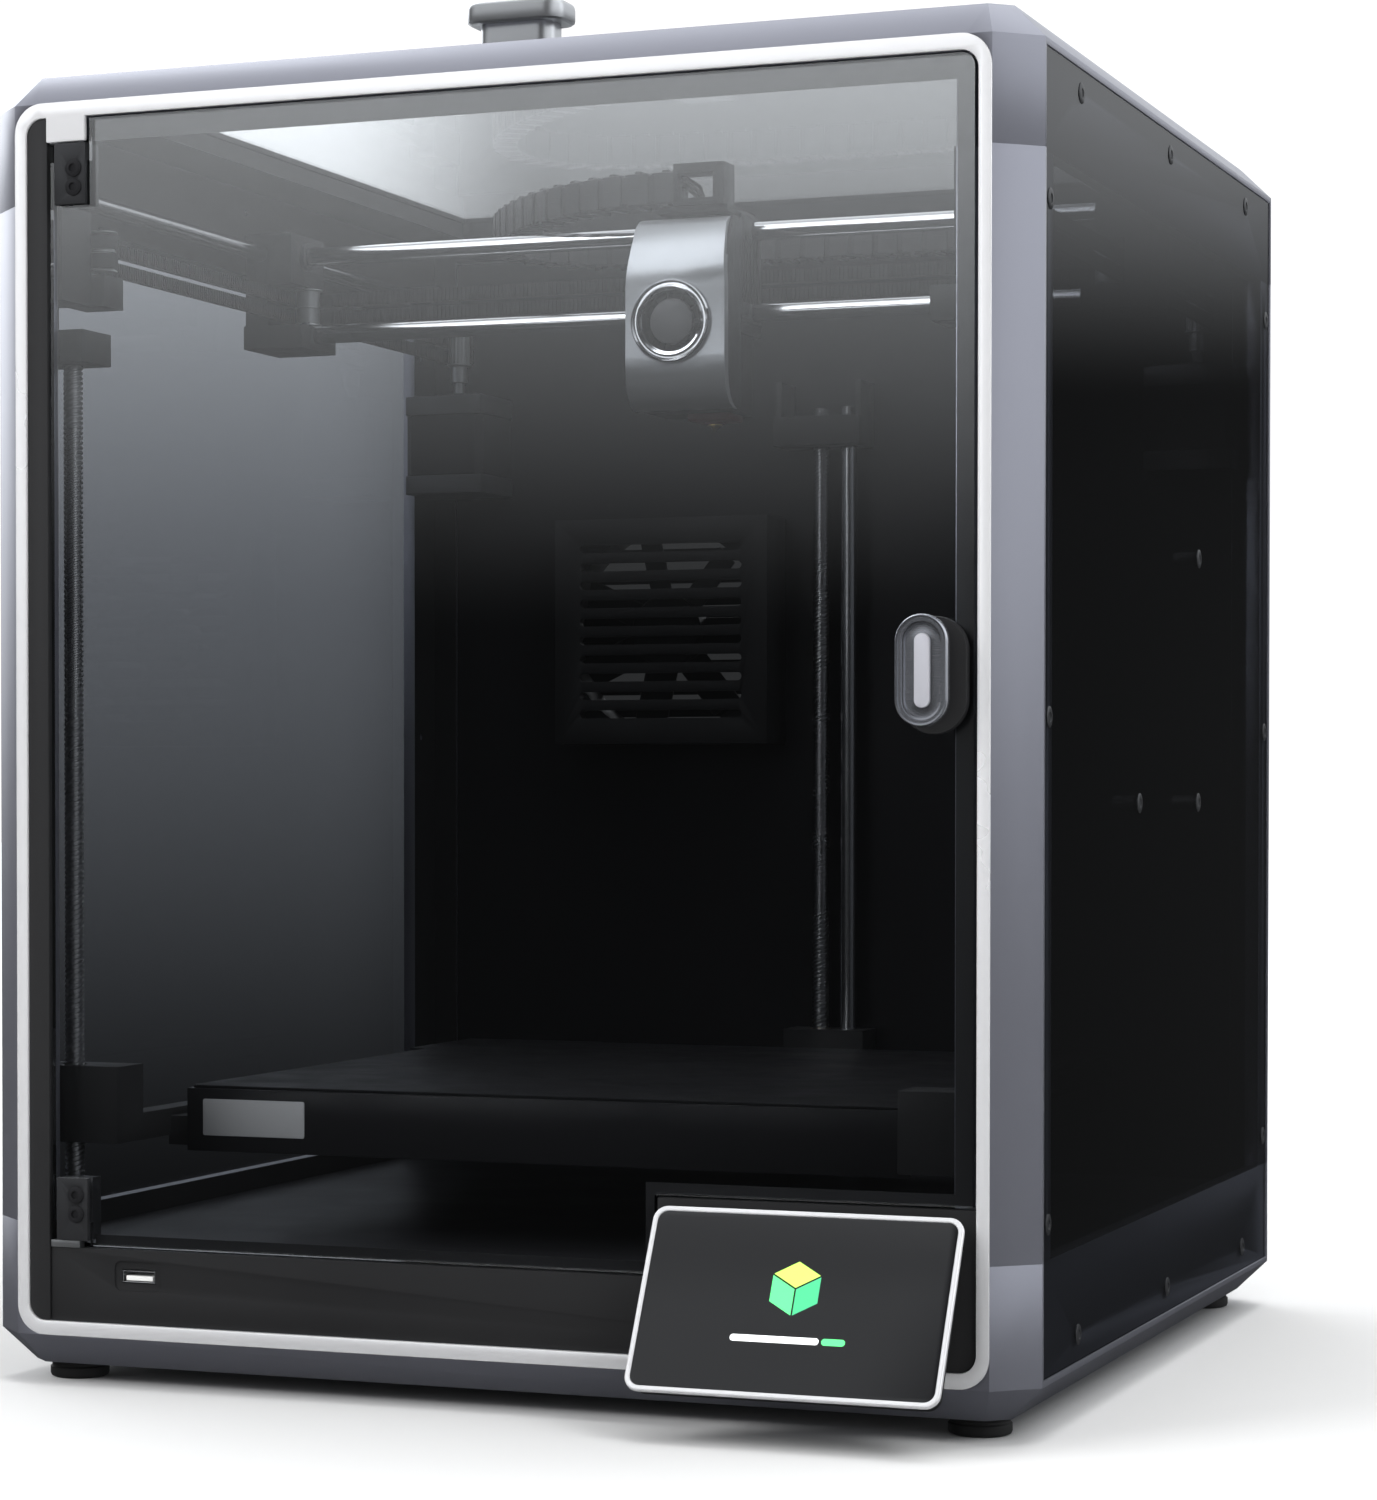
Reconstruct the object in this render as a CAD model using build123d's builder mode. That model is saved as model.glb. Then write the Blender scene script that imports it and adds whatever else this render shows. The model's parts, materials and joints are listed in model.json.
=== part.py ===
"""Enclosed desktop FDM printer, millimetres, +Z up, front towards -Y.

Origin: the middle of the footprint of the whole machine, on the floor.
Places along the depth are written as a distance behind the front face, and depth() turns them into Y.
"""
from build123d import *
from math import cos, radians, sin
import os

os.makedirs("parts", exist_ok=True)

# ---------------------------------------------------------------- driving dimensions
WIDTH = 435.0            # body across the sides
BODY_DEPTH = 440.0       # body, front face to back face
BODY_TOP = 526.0         # top face of the frame
FOOT_HEIGHT, FOOT_RADIUS, FOOT_X, FOOT_IN = 7.5, 12.0, 190.0, 30.0
SCREEN_REACH = 40.0      # how far the tilted screen stands in front of the front face
SEAM_LOW, SEAM_HIGH = 66.0, 473.0          # joints between base, columns and top frame
CORNER_X, CORNER_D, EDGE_BEVEL = 15.8, 15.0, 13.0
WALL_IN = 208.0          # inner face of the frame's side walls
PANEL_X = (214.0, 217.0)
PANEL_D = (17.0, 423.0)
PANEL_Z = (22.6, 510.5)
PANEL_GAP = 0.3
SCREW_RADIUS, SCREW_HEAD, CLAMP_HEAD = 1.5, 4.0, 3.5        # panel and clamp screws
PANEL_COLUMNS, PANEL_ROWS = (24.5, 415.5), (79.5, 266.0, 455.5)
RAIL_COLUMNS, RAIL_ROWS = (70.0, 220.0, 370.0), (33.0, 501.5)
INNER_SCREWS = [(276.0, 338.0), (168.0, 234.0), (276.0, 234.0)]
TRIM_OUT = (201.7, 20.5, 513.4, 12.0)      # half width, bottom, top, corner radius
TRIM_IN = (196.6, 26.3, 507.4, 7.0)
TRIM_DEEP = 2.0
OPENING_X = 187.0        # half width of the chamber's front opening
FLANGE_D = (6.5, 10.0)   # frame flange that the door closes against
FLOOR_Z = (54.0, 57.0)
FASCIA_TOP = 56.0
CEILING = 500.0

HINGE_X, HINGE_D = -180.0, 3.0
GLASS_D = (1.0, 5.0)
GLASS_X, GLASS_Z = (-186.0, 195.0), (57.0, 506.5)
CLAMP_X, CLAMP_D = (-183.3, -169.4), (-1.0, 12.0)
CLAMP_LOW, CLAMP_HIGH = (59.2, 84.1), (472.4, 496.6)
CLAMP_END = 7.0          # solid end of each clamp, which holds the pin
NOTCH_X, NOTCH_TOP = 71.5, 87.0           # corner of the door cut away around the screen
HANDLE_X, HANDLE_Z = 179.0, 282.5
HANDLE_SIZE = (20.0, 41.0)
DOOR_SCREW_X, DOOR_SCREW_Z = -174.5, (69.7, 77.4, 479.1, 486.6)

LID_X, LID_D = 190.0, (27.0, 413.0)
LID_Z = (522.0, 525.5)
KNOB_D, KNOB_TOP, KNOB_CAP = 43.0, 546.0, 8.0      # depth of its middle, top, height of the cap
GASKET_LOW, SHEET_CORNER = 519.5, 8.0

ROD = 8.0                # every smooth rod and lead screw
FIT = 0.1                # difference in diameter of a running fit
Y_ROD_X, Y_ROD_Z = 200.0, 482.5
GANTRY_D = 235.0
X_ROD_D, X_ROD_Z = 232.0, (446.0, 481.5)
BELT = 1.5               # belt thickness
BELT_Z = ((452.0, 458.0), (460.0, 466.0))
SIDE_BELT_X = 192.0
CROSS_BELT_D = 243.0
PULLEY = 6.0             # radius of the belt pulleys
BELT_FRONT, BELT_REAR = 42.0, 410.0        # front idlers and motor pulleys

SCREWS = {"left": (-188.0, 24.0), "right": (188.0, 24.0), "rear": (1.0, 422.0)}
GUIDES = {"left": (-199.5, 24.0), "right": (199.5, 24.0), "rear": (15.0, 422.0)}
SCREW_TOP = 424.0
Z_PULLEY, Z_BELT_Z = 9.0, (45.0, 51.0)
Z_MOTOR = (-60.0, 330.0)

COVER_X = (-12.0, 33.0)
FAN_X, FAN_Z = 9.0, 439.0
NOZZLE_X, NOZZLE_D, NOZZLE_TIP = 17.5, 222.0, 395.0
HEAD_LOW, HEAD_TOP = 402.0, 487.0
CHAIN_Z, CHAIN_WIDE = (490.0, 506.0), 12.0
CHAIN_END_X = 5.0

BED_X, BED_D = 154.5, (58.0, 370.0)
BED_Z = (91.0, 118.0)
MOTOR = (42.3, 48.0)     # square size and length of a belt motor
MOTOR_TOP = 434.0
REAR_FAN = (-76.0, 317.0)                  # centre of the exhaust fan, X and Z
REAR_FAN_SIZE = 110.0


# ---------------------------------------------------------------- helpers
def depth(d):
    """Y of a place d behind the front face."""
    return d - (BODY_DEPTH - SCREEN_REACH) / 2


def slab(x, d, z, mode=Mode.ADD):
    """Box between two X values, two depths and two heights."""
    with Locations((sum(x) / 2, depth(sum(d) / 2), sum(z) / 2)):
        Box(x[1] - x[0], d[1] - d[0], z[1] - z[0], mode=mode)


def post(x, d, z, radius, mode=Mode.ADD):
    """Upright cylinder between two heights."""
    with Locations((x, depth(d), sum(z) / 2)):
        Cylinder(radius, z[1] - z[0], mode=mode)


def bar_y(x, z, d, radius, mode=Mode.ADD):
    """Cylinder along the depth."""
    with Locations(Location((x, depth(sum(d) / 2), z), (90, 0, 0))):
        Cylinder(radius, d[1] - d[0], mode=mode)


def bar_x(d, z, x, radius, mode=Mode.ADD):
    """Cylinder across the width."""
    with Locations(Location((sum(x) / 2, depth(d), z), (0, 90, 0))):
        Cylinder(radius, x[1] - x[0], mode=mode)


def front_plane(d):
    """Sketch plane parallel to the front, X to the right and Z up, normal towards the front."""
    return Plane((0, depth(d), 0), x_dir=(1, 0, 0), z_dir=(0, -1, 0))


def save(piece, label):
    """Label a finished piece and write it."""
    piece.part.label = label
    export_step(piece.part, f"parts/{label}.step")


def outer_block(z):
    """The body's outline with its four bevelled corners, between two heights."""
    half = (WIDTH / 2, BODY_DEPTH / 2)
    middle = Location((0, depth(BODY_DEPTH / 2), 0))
    with BuildSketch(Plane.XY.offset(z[0])) as outline:
        with BuildLine():
            Polyline(
                (half[0], half[1] - CORNER_D), (half[0] - CORNER_X, half[1]),
                (-half[0] + CORNER_X, half[1]), (-half[0], half[1] - CORNER_D),
                (-half[0], -half[1] + CORNER_D), (-half[0] + CORNER_X, -half[1]),
                (half[0] - CORNER_X, -half[1]), (half[0], -half[1] + CORNER_D), close=True)
        make_face()
    extrude(outline.sketch.moved(middle), amount=z[1] - z[0])


def trim_ring(mode):
    """The ring that the bright front trim fills."""
    for (half, low, high, radius), kind in ((TRIM_OUT, "outer"), (TRIM_IN, "inner")):
        if kind == "inner" and mode is Mode.SUBTRACT:
            continue
        with BuildSketch(front_plane(TRIM_DEEP)) as ring:
            with Locations((0, (low + high) / 2)):
                RectangleRounded(2 * half, high - low, radius)
        extrude(ring.sketch, amount=TRIM_DEEP + 1, mode=mode if kind == "outer" else Mode.SUBTRACT)


def panel_screw_places(side):
    """Depth and height of every side panel screw; the right panel has three more inside its outline."""
    places = [(d, z) for d in PANEL_COLUMNS for z in PANEL_ROWS]
    places += [(d, z) for d in RAIL_COLUMNS for z in RAIL_ROWS]
    return places + (INNER_SCREWS if side > 0 else [])


def panel_openings():
    """Cut the recesses for the side panels and the bores of their screws."""
    for side in (-1, 1):
        slab(sorted((side * PANEL_X[0], side * (WIDTH / 2 + 1))), PANEL_D, PANEL_Z, Mode.SUBTRACT)
        for d, z in panel_screw_places(side):
            bar_x(d, z, sorted((side * (WALL_IN - 8), side * WIDTH / 2)), SCREW_RADIUS, Mode.SUBTRACT)


# ---------------------------------------------------------------- frame
with BuildPart() as base_frame:
    outer_block((FOOT_HEIGHT, SEAM_LOW))
    chamfer(base_frame.faces().sort_by(Axis.Z)[0].edges(), EDGE_BEVEL)
    slab((-200, 200), (16, 424), (11, 21), Mode.SUBTRACT)
    slab((-WALL_IN, WALL_IN), (8, 432), (20, SEAM_LOW + 1), Mode.SUBTRACT)
    slab((-190, 190), (28, 412), (0, 12), Mode.SUBTRACT)
    slab((-TRIM_IN[0], TRIM_IN[0]), (-1, FLANGE_D[1]), (TRIM_IN[1], SEAM_LOW + 1), Mode.SUBTRACT)
    slab((-196, 196), (431, 441), (24, SEAM_LOW + 1), Mode.SUBTRACT)
    trim_ring(Mode.SUBTRACT)
    panel_openings()
save(base_frame, "base_frame")

with BuildPart() as corner_columns:
    outer_block((SEAM_LOW, SEAM_HIGH))
    slab((-OPENING_X, OPENING_X), (-1, 441), (SEAM_LOW - 1, SEAM_HIGH + 1), Mode.SUBTRACT)
    slab((-WIDTH, WIDTH), (32, 408), (SEAM_LOW - 1, SEAM_HIGH + 1), Mode.SUBTRACT)
    slab((-WALL_IN, WALL_IN), (FLANGE_D[1], BODY_DEPTH - 7), (SEAM_LOW - 1, SEAM_HIGH + 1), Mode.SUBTRACT)
    slab((-TRIM_IN[0], TRIM_IN[0]), (-1, FLANGE_D[0]), (SEAM_LOW - 1, SEAM_HIGH + 1), Mode.SUBTRACT)
    slab((-196, 196), (430, 441), (SEAM_LOW - 1, SEAM_HIGH + 1), Mode.SUBTRACT)
    trim_ring(Mode.SUBTRACT)
    panel_openings()
save(corner_columns, "corner_columns")

with BuildPart() as top_frame:
    outer_block((SEAM_HIGH, BODY_TOP))
    chamfer(top_frame.faces().sort_by(Axis.Z)[-1].edges(), EDGE_BEVEL)
    slab((-WALL_IN, WALL_IN), (FLANGE_D[1], BODY_DEPTH - 7), (SEAM_HIGH - 1, 512), Mode.SUBTRACT)
    slab((-LID_X - 2, LID_X + 2), (LID_D[0] - 2, LID_D[1] + 2), (GASKET_LOW, BODY_TOP + 1), Mode.SUBTRACT)
    slab((-178, 178), (40, 400), (500, BODY_TOP + 1), Mode.SUBTRACT)
    slab((-OPENING_X, OPENING_X), (-1, FLANGE_D[1] + 1), (SEAM_HIGH - 1, CEILING), Mode.SUBTRACT)
    slab((-TRIM_IN[0], TRIM_IN[0]), (-1, FLANGE_D[0]), (SEAM_HIGH - 1, TRIM_IN[2]), Mode.SUBTRACT)
    slab((-196, 196), (432, 441), (SEAM_HIGH - 1, 505), Mode.SUBTRACT)
    slab((-188, 188), (436, 441), (SEAM_HIGH - 1, 505), Mode.SUBTRACT)
    trim_ring(Mode.SUBTRACT)
    panel_openings()
save(top_frame, "top_frame")

with BuildPart() as front_trim:
    trim_ring(Mode.ADD)
    slab((-WIDTH, WIDTH), (-2, -0.4), (0, BODY_TOP), Mode.SUBTRACT)
    slab((-187.4, -170.0), (-0.4, TRIM_DEEP), (497.5, TRIM_IN[2] + 0.5))
save(front_trim, "front_trim")

with BuildPart() as hinge_strip:
    slab((-TRIM_IN[0] + 0.2, -187.4), (0.5, FLANGE_D[0]), (TRIM_IN[1] + 0.3, TRIM_IN[2] - 0.3))
    fillet(hinge_strip.edges().filter_by(Axis.Y).group_by(Axis.X)[0], 6.8)
save(hinge_strip, "hinge_strip")

with BuildPart() as side_panels:
    for side in (-1, 1):
        slab(sorted(side * x for x in PANEL_X), (PANEL_D[0] + PANEL_GAP, PANEL_D[1] - PANEL_GAP),
             (PANEL_Z[0] + PANEL_GAP, PANEL_Z[1] - PANEL_GAP))
        for place_d, place_z in panel_screw_places(side):
            bar_x(place_d, place_z, sorted((side * WALL_IN, side * WIDTH / 2)), SCREW_RADIUS, Mode.SUBTRACT)
save(side_panels, "side_panels")

with BuildPart() as panel_screws:
    for side in (-1, 1):
        for place_d, place_z in panel_screw_places(side):
            bar_x(place_d, place_z, sorted((side * 211.0, side * PANEL_X[1])), SCREW_RADIUS)
            bar_x(place_d, place_z, sorted((side * PANEL_X[1], side * (PANEL_X[1] + 0.5))), SCREW_HEAD)
save(panel_screws, "panel_screws")

with BuildPart() as rear_panel:
    slab((-195.5, 195.5), (433.2, 436), (24.5, 504.5))
    with BuildSketch(Plane((0, depth(440), 0), x_dir=(1, 0, 0), z_dir=(0, -1, 0))):
        with Locations(REAR_FAN):
            with GridLocations(0, 11, 1, 9):
                SlotOverall(88, 5)
    extrude(amount=8, mode=Mode.SUBTRACT)
    slab((112, 168), (430, 440), (28.5, 51.5), Mode.SUBTRACT)
save(rear_panel, "rear_panel")

with BuildPart() as bottom_cover:
    slab((-199.5, 199.5), (16.5, 423.5), (11, 13))
    with Locations((90, depth(220), 12)):
        with GridLocations(14, 0, 9, 1):
            Box(5, 120, 4, mode=Mode.SUBTRACT)
save(bottom_cover, "bottom_cover")

with BuildPart() as chamber_floor:
    slab((-205, 205), (11, 432), FLOOR_Z)
    for screw_x, screw_d in list(SCREWS.values()) + list(GUIDES.values()):
        post(screw_x, screw_d, (50, 60), ROD / 2 + FIT / 2, Mode.SUBTRACT)
save(chamber_floor, "chamber_floor")

with BuildPart() as lower_fascia:
    slab((-187.2, TRIM_IN[0] - 0.2), (1.5, 5.5), (TRIM_IN[1] + 0.2, FASCIA_TOP))
    slab((NOTCH_X + 1, TRIM_IN[0] - 0.2), (1.5, 5.5), (FASCIA_TOP - 6, NOTCH_TOP - 1))
    fillet(lower_fascia.edges().filter_by(Axis.Y).group_by(Axis.Z)[0].group_by(Axis.X)[-1], 6.8)
    slab((-155.6, -140.5), (0, 6), (42.7, 48.3), Mode.SUBTRACT)
    with BuildSketch(front_plane(2.3)):
        with Locations((-148, 45.5)):
            RectangleRounded(21, 12, 3)
    extrude(amount=2, mode=Mode.SUBTRACT)
save(lower_fascia, "lower_fascia")

with BuildPart() as usb_port:
    slab((-155.4, -140.7), (2.3, 12), (42.9, 48.1))
    slab((-154.9, -141.2), (2.0, 10), (43.4, 47.6), Mode.SUBTRACT)
    slab((-154.0, -142.1), (3.2, 10.5), (45.4, 47.0))
save(usb_port, "usb_port")

with BuildPart() as feet:
    for foot_x in (-FOOT_X, FOOT_X):
        for foot_d in (FOOT_IN, BODY_DEPTH - FOOT_IN):
            post(foot_x, foot_d, (0, FOOT_HEIGHT), FOOT_RADIUS)
    chamfer(feet.faces().group_by(Axis.Z)[0].edges(), 1.2)
save(feet, "feet")

# ---------------------------------------------------------------- tilted touch screen
SCREEN_TILT = 28.7                 # degrees back from upright
SCREEN_SIZE = (120.0, 73.0)
SCREEN_MIDDLE = Vector(134.0, depth(-22.5), 52.0)
screen_plane = Plane(SCREEN_MIDDLE, x_dir=(1, 0, 0),
                     z_dir=(0, -cos(radians(SCREEN_TILT)), sin(radians(SCREEN_TILT))))

with BuildPart() as screen_housing:
    with BuildSketch(screen_plane.offset(-9)):
        with Locations((0, -2)):
            RectangleRounded(SCREEN_SIZE[0] - 3, SCREEN_SIZE[1] - 7, 5)
    extrude(amount=7)
    with BuildSketch(Plane((98, 0, 0), x_dir=(0, 1, 0), z_dir=(1, 0, 0))):
        with BuildLine():
            Polyline((depth(1.5), 30), (depth(1.5), 54), (depth(-12.4), 53.9), (depth(-20.3), 39.5),
                     close=True)
        make_face()
    extrude(amount=72)
save(screen_housing, "screen_housing")

with BuildPart() as screen_bezel:
    with BuildSketch(screen_plane.offset(-2)):
        RectangleRounded(*SCREEN_SIZE, 5.5)
        RectangleRounded(SCREEN_SIZE[0] - 4, SCREEN_SIZE[1] - 4, 4, mode=Mode.SUBTRACT)
    extrude(amount=2)
save(screen_bezel, "screen_bezel")

with BuildPart() as screen_glass:
    with BuildSketch(screen_plane.offset(-2)):
        RectangleRounded(SCREEN_SIZE[0] - 4, SCREEN_SIZE[1] - 4, 4)
    extrude(amount=1.7)
save(screen_glass, "screen_glass")

# ---------------------------------------------------------------- door
with BuildPart() as hinge_pivots:
    slab((-187.0, -174.0), (1.0, 5.0), (FASCIA_TOP, FASCIA_TOP + 2.8))
    post(HINGE_X, HINGE_D, (FASCIA_TOP + 2, CLAMP_LOW[0] + 6), 1.5)
    slab((-187.0, -174.0), (TRIM_DEEP, FLANGE_D[0]), (497.0, 504.0))
    post(HINGE_X, HINGE_D, (CLAMP_HIGH[1] - 6, 499.0), 1.5)
    slab((-187.0, -174.0), (-1, TRIM_DEEP), (496.9, 510.0), Mode.SUBTRACT)
save(hinge_pivots, "hinge_pivots")

with BuildPart() as hinge_clamps:
    for clamp_z, end_z in ((CLAMP_LOW, CLAMP_LOW[0] + CLAMP_END), (CLAMP_HIGH, CLAMP_HIGH[1] - CLAMP_END)):
        slab(CLAMP_X, CLAMP_D, clamp_z)
        glass_side = (end_z, clamp_z[1] + 1) if clamp_z is CLAMP_LOW else (clamp_z[0] - 1, end_z)
        slab((CLAMP_X[0] - 1, CLAMP_X[1] + 1), GLASS_D, glass_side, Mode.SUBTRACT)
    post(HINGE_X, HINGE_D, (CLAMP_LOW[0] - 1, CLAMP_LOW[0] + 6.3), 1.5 + FIT / 2, Mode.SUBTRACT)
    post(HINGE_X, HINGE_D, (CLAMP_HIGH[1] - 6.3, CLAMP_HIGH[1] + 1), 1.5 + FIT / 2, Mode.SUBTRACT)
    for screw_z in DOOR_SCREW_Z:
        bar_y(DOOR_SCREW_X, screw_z, (-2, GLASS_D[0]), SCREW_RADIUS, Mode.SUBTRACT)
save(hinge_clamps, "hinge_clamps")

with BuildPart() as hinge_screws:
    for screw_z in DOOR_SCREW_Z:
        bar_y(DOOR_SCREW_X, screw_z, (-1, GLASS_D[0]), SCREW_RADIUS)
        bar_y(DOOR_SCREW_X, screw_z, (-2.2, -1), CLAMP_HEAD)
        bar_y(DOOR_SCREW_X, screw_z, (-2.3, -1.3), 1.2, Mode.SUBTRACT)
save(hinge_screws, "hinge_screws")

with BuildPart() as door_glass:
    with BuildSketch(front_plane(GLASS_D[1])):
        with Locations((sum(GLASS_X) / 2, sum(GLASS_Z) / 2)):
            RectangleRounded(GLASS_X[1] - GLASS_X[0], GLASS_Z[1] - GLASS_Z[0], 5)
    extrude(amount=GLASS_D[1] - GLASS_D[0])
    slab((NOTCH_X, 200), (0, 6), (50, NOTCH_TOP), Mode.SUBTRACT)
    slab((-190, CLAMP_X[1] + 0.3), (0, 6), (50, CLAMP_LOW[0] + CLAMP_END), Mode.SUBTRACT)
    slab((-190, CLAMP_X[1] + 0.9), (0, 6), (CLAMP_HIGH[1] - CLAMP_END, 510), Mode.SUBTRACT)
save(door_glass, "door_glass")

with BuildPart() as handle_base:
    with BuildSketch(front_plane(GLASS_D[0])):
        with Locations((HANDLE_X + 2, HANDLE_Z - 1.5)):
            SlotOverall(43, 25, rotation=90)
    extrude(amount=4)
save(handle_base, "handle_base")

with BuildPart() as door_handle:
    with BuildSketch(front_plane(-3)):
        with Locations((HANDLE_X, HANDLE_Z)):
            SlotOverall(HANDLE_SIZE[1] - 5, HANDLE_SIZE[0] - 5, rotation=90)
    extrude(amount=6)
    with BuildSketch(front_plane(-8.5)):
        with Locations((HANDLE_X, HANDLE_Z)):
            SlotOverall(HANDLE_SIZE[1], HANDLE_SIZE[0], rotation=90)
    extrude(amount=4.5)
    with BuildSketch(front_plane(-11.5)):
        with Locations((HANDLE_X, HANDLE_Z)):
            SlotOverall(HANDLE_SIZE[1] - 6, HANDLE_SIZE[0] - 6, rotation=90)
            SlotOverall(HANDLE_SIZE[1] - 12, 3.4, rotation=90, mode=Mode.SUBTRACT)
    extrude(amount=3, mode=Mode.SUBTRACT)
    fillet(door_handle.faces().sort_by(Axis.Y)[0].outer_wire().edges(), 0.8)
save(door_handle, "door_handle")

# ---------------------------------------------------------------- lid
with BuildPart() as lid_glass:
    slab((-LID_X, LID_X), LID_D, LID_Z)
    fillet(lid_glass.edges().filter_by(Axis.Z), SHEET_CORNER)
    post(0, KNOB_D, (515, 530), 3.0, Mode.SUBTRACT)
save(lid_glass, "lid_glass")

with BuildPart() as lid_gasket:
    slab((-LID_X, LID_X), LID_D, (GASKET_LOW, LID_Z[0]))
    fillet(lid_gasket.edges().filter_by(Axis.Z), SHEET_CORNER)
    slab((-LID_X + 13, LID_X - 13), (LID_D[0] + 22, LID_D[1] - 13), (515, 525), Mode.SUBTRACT)
    post(0, KNOB_D, (515, 530), 3.0, Mode.SUBTRACT)
save(lid_gasket, "lid_gasket")

with BuildPart() as lid_knob:
    post(0, KNOB_D, (GASKET_LOW, LID_Z[1]), 3.0)
    with BuildSketch(Plane.XY.offset(LID_Z[1])):
        with Locations((0, depth(KNOB_D))):
            RectangleRounded(31, 17, 6)
    extrude(amount=KNOB_TOP - KNOB_CAP - LID_Z[1])
    with BuildSketch(Plane.XY.offset(KNOB_TOP - KNOB_CAP)):
        with Locations((0, depth(KNOB_D))):
            RectangleRounded(41, 25, 7)
    extrude(amount=KNOB_CAP)
    fillet(lid_knob.faces().sort_by(Axis.Z)[-1].edges(), 1.5)
save(lid_knob, "lid_knob")

# ---------------------------------------------------------------- fixed motion hardware
with BuildPart() as guide_rods:
    for side in (-1, 1):
        bar_y(side * Y_ROD_X, Y_ROD_Z, (16, 424), ROD / 2)
    for guide_x, guide_d in GUIDES.values():
        post(guide_x, guide_d, (FLOOR_Z[0], SCREW_TOP), ROD / 2)
save(guide_rods, "guide_rods")

with BuildPart() as rod_brackets:
    for side in (-1, 1):
        for bracket_d in ((FLANGE_D[1], 34), (402, 433)):
            slab(sorted((side * 194, side * WALL_IN)), bracket_d, (474, 490))
            bar_y(side * Y_ROD_X, Y_ROD_Z, bracket_d, ROD / 2, Mode.SUBTRACT)
        slab(sorted((side * 185, side * 207)), (FLANGE_D[1], 34), (436, 474))
        slab(sorted((side * 200, side * 207)), (FLANGE_D[1], 34), (424, 436))
        slab(sorted((side * 176, side * 207)), (FLANGE_D[1], 34), (411, 424))
        slab(sorted((side * 179, side * 196)), (34, 50), (436, 449))
        post(side * (SIDE_BELT_X - BELT - PULLEY), BELT_FRONT, (448, 469), 1.5)
    slab((-19, 24), (408, 433), (405, 419))
    for gusset_x in (-19, 21):
        slab((gusset_x, gusset_x + 3), (412, 433), (419, 436))
    for screw_x, screw_d in SCREWS.values():
        post(screw_x, screw_d, (400, SCREW_TOP), ROD / 2 + FIT / 2, Mode.SUBTRACT)
    for guide_x, guide_d in GUIDES.values():
        post(guide_x, guide_d, (400, SCREW_TOP), ROD / 2, Mode.SUBTRACT)
save(rod_brackets, "rod_brackets")

with BuildPart() as stepper_motors:
    for side in (-1, 1):
        motor_x = side * (SIDE_BELT_X - BELT - PULLEY)
        with Locations((motor_x, depth(BELT_REAR), MOTOR_TOP - MOTOR[1] / 2)):
            Box(MOTOR[0], MOTOR[0], MOTOR[1])
        post(motor_x, BELT_REAR, (MOTOR_TOP, MOTOR_TOP + 2), 11)
    with Locations((Z_MOTOR[0], depth(Z_MOTOR[1]), 28)):
        Box(MOTOR[0], MOTOR[0], 30)
save(stepper_motors, "stepper_motors")


def pulley(x, d, z, radius, bore):
    """Flanged belt pulley with an upright axis."""
    post(x, d, z, radius)
    for flange_z in ((z[0], z[0] + 0.8), (z[1] - 0.8, z[1])):
        post(x, d, flange_z, radius + 1.2)
    post(x, d, (z[0] - 1, z[1] + 1), bore, Mode.SUBTRACT)


pulley_x = SIDE_BELT_X - BELT - PULLEY
for side, side_name in ((-1, "left"), (1, "right")):
    with BuildPart() as front_idler:
        pulley(side * pulley_x, BELT_FRONT, (450.5, 467.5), PULLEY - 0.7, 1.5 + FIT / 2)
    save(front_idler, f"front_idler_{side_name}")
    with BuildPart() as motor_pulley:
        post(side * pulley_x, BELT_REAR, (442, 450.5), 4.0)
        pulley(side * pulley_x, BELT_REAR, (450.5, 467.5), PULLEY - 0.7, 2.5)
        post(side * pulley_x, BELT_REAR, (MOTOR_TOP + 2.3, 469), 2.5)
    save(motor_pulley, f"motor_pulley_{side_name}")
    with BuildPart() as gantry_idler:
        pulley(side * pulley_x, GANTRY_D + 1.5, (450.5, 467.5), PULLEY - 0.7, 1.5 + FIT / 2)
    save(gantry_idler, f"gantry_idler_{side_name}")


def belt_loop(places, radius, z):
    """Closed flat belt around upright pulleys, given in order."""
    for reach, mode in ((radius, Mode.ADD), (radius - BELT, Mode.SUBTRACT)):
        with BuildSketch(Plane.XY.offset(z[0])) as loop:
            with Locations(*[(x, depth(d)) for x, d in places]):
                Circle(reach)
            make_hull()
        extrude(loop.sketch, amount=z[1] - z[0], mode=mode)


with BuildPart() as drive_belts:
    belt_loop([SCREWS["left"], SCREWS["right"], SCREWS["rear"], Z_MOTOR], Z_PULLEY + 0.3 + BELT, Z_BELT_Z)
    for side in (-1, 1):
        for belt_z in BELT_Z:
            belt_loop([(side * pulley_x, BELT_FRONT), (side * pulley_x, BELT_REAR)], PULLEY + BELT, belt_z)
            slab(sorted((side * (pulley_x - 12), side * (pulley_x - 1))), (BELT_FRONT, BELT_REAR), belt_z,
                 Mode.SUBTRACT)
save(drive_belts, "drive_belts")

with BuildPart() as z_motor_pulley:
    pulley(Z_MOTOR[0], Z_MOTOR[1], (44, 52), Z_PULLEY - 1.0, 2.5)
    post(Z_MOTOR[0], Z_MOTOR[1], (43.3, 53), 2.5)
save(z_motor_pulley, "z_motor_pulley")

for side_name, (screw_x, screw_d) in SCREWS.items():
    with BuildPart() as lead_screw:
        post(screw_x, screw_d, (43, SCREW_TOP - 2), ROD / 2)
        pulley(screw_x, screw_d, (44, 52), Z_PULLEY - 1.0, ROD / 2)
        post(screw_x, screw_d, (43, SCREW_TOP - 2), ROD / 2)
    save(lead_screw, f"lead_screw_{side_name}")

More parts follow.
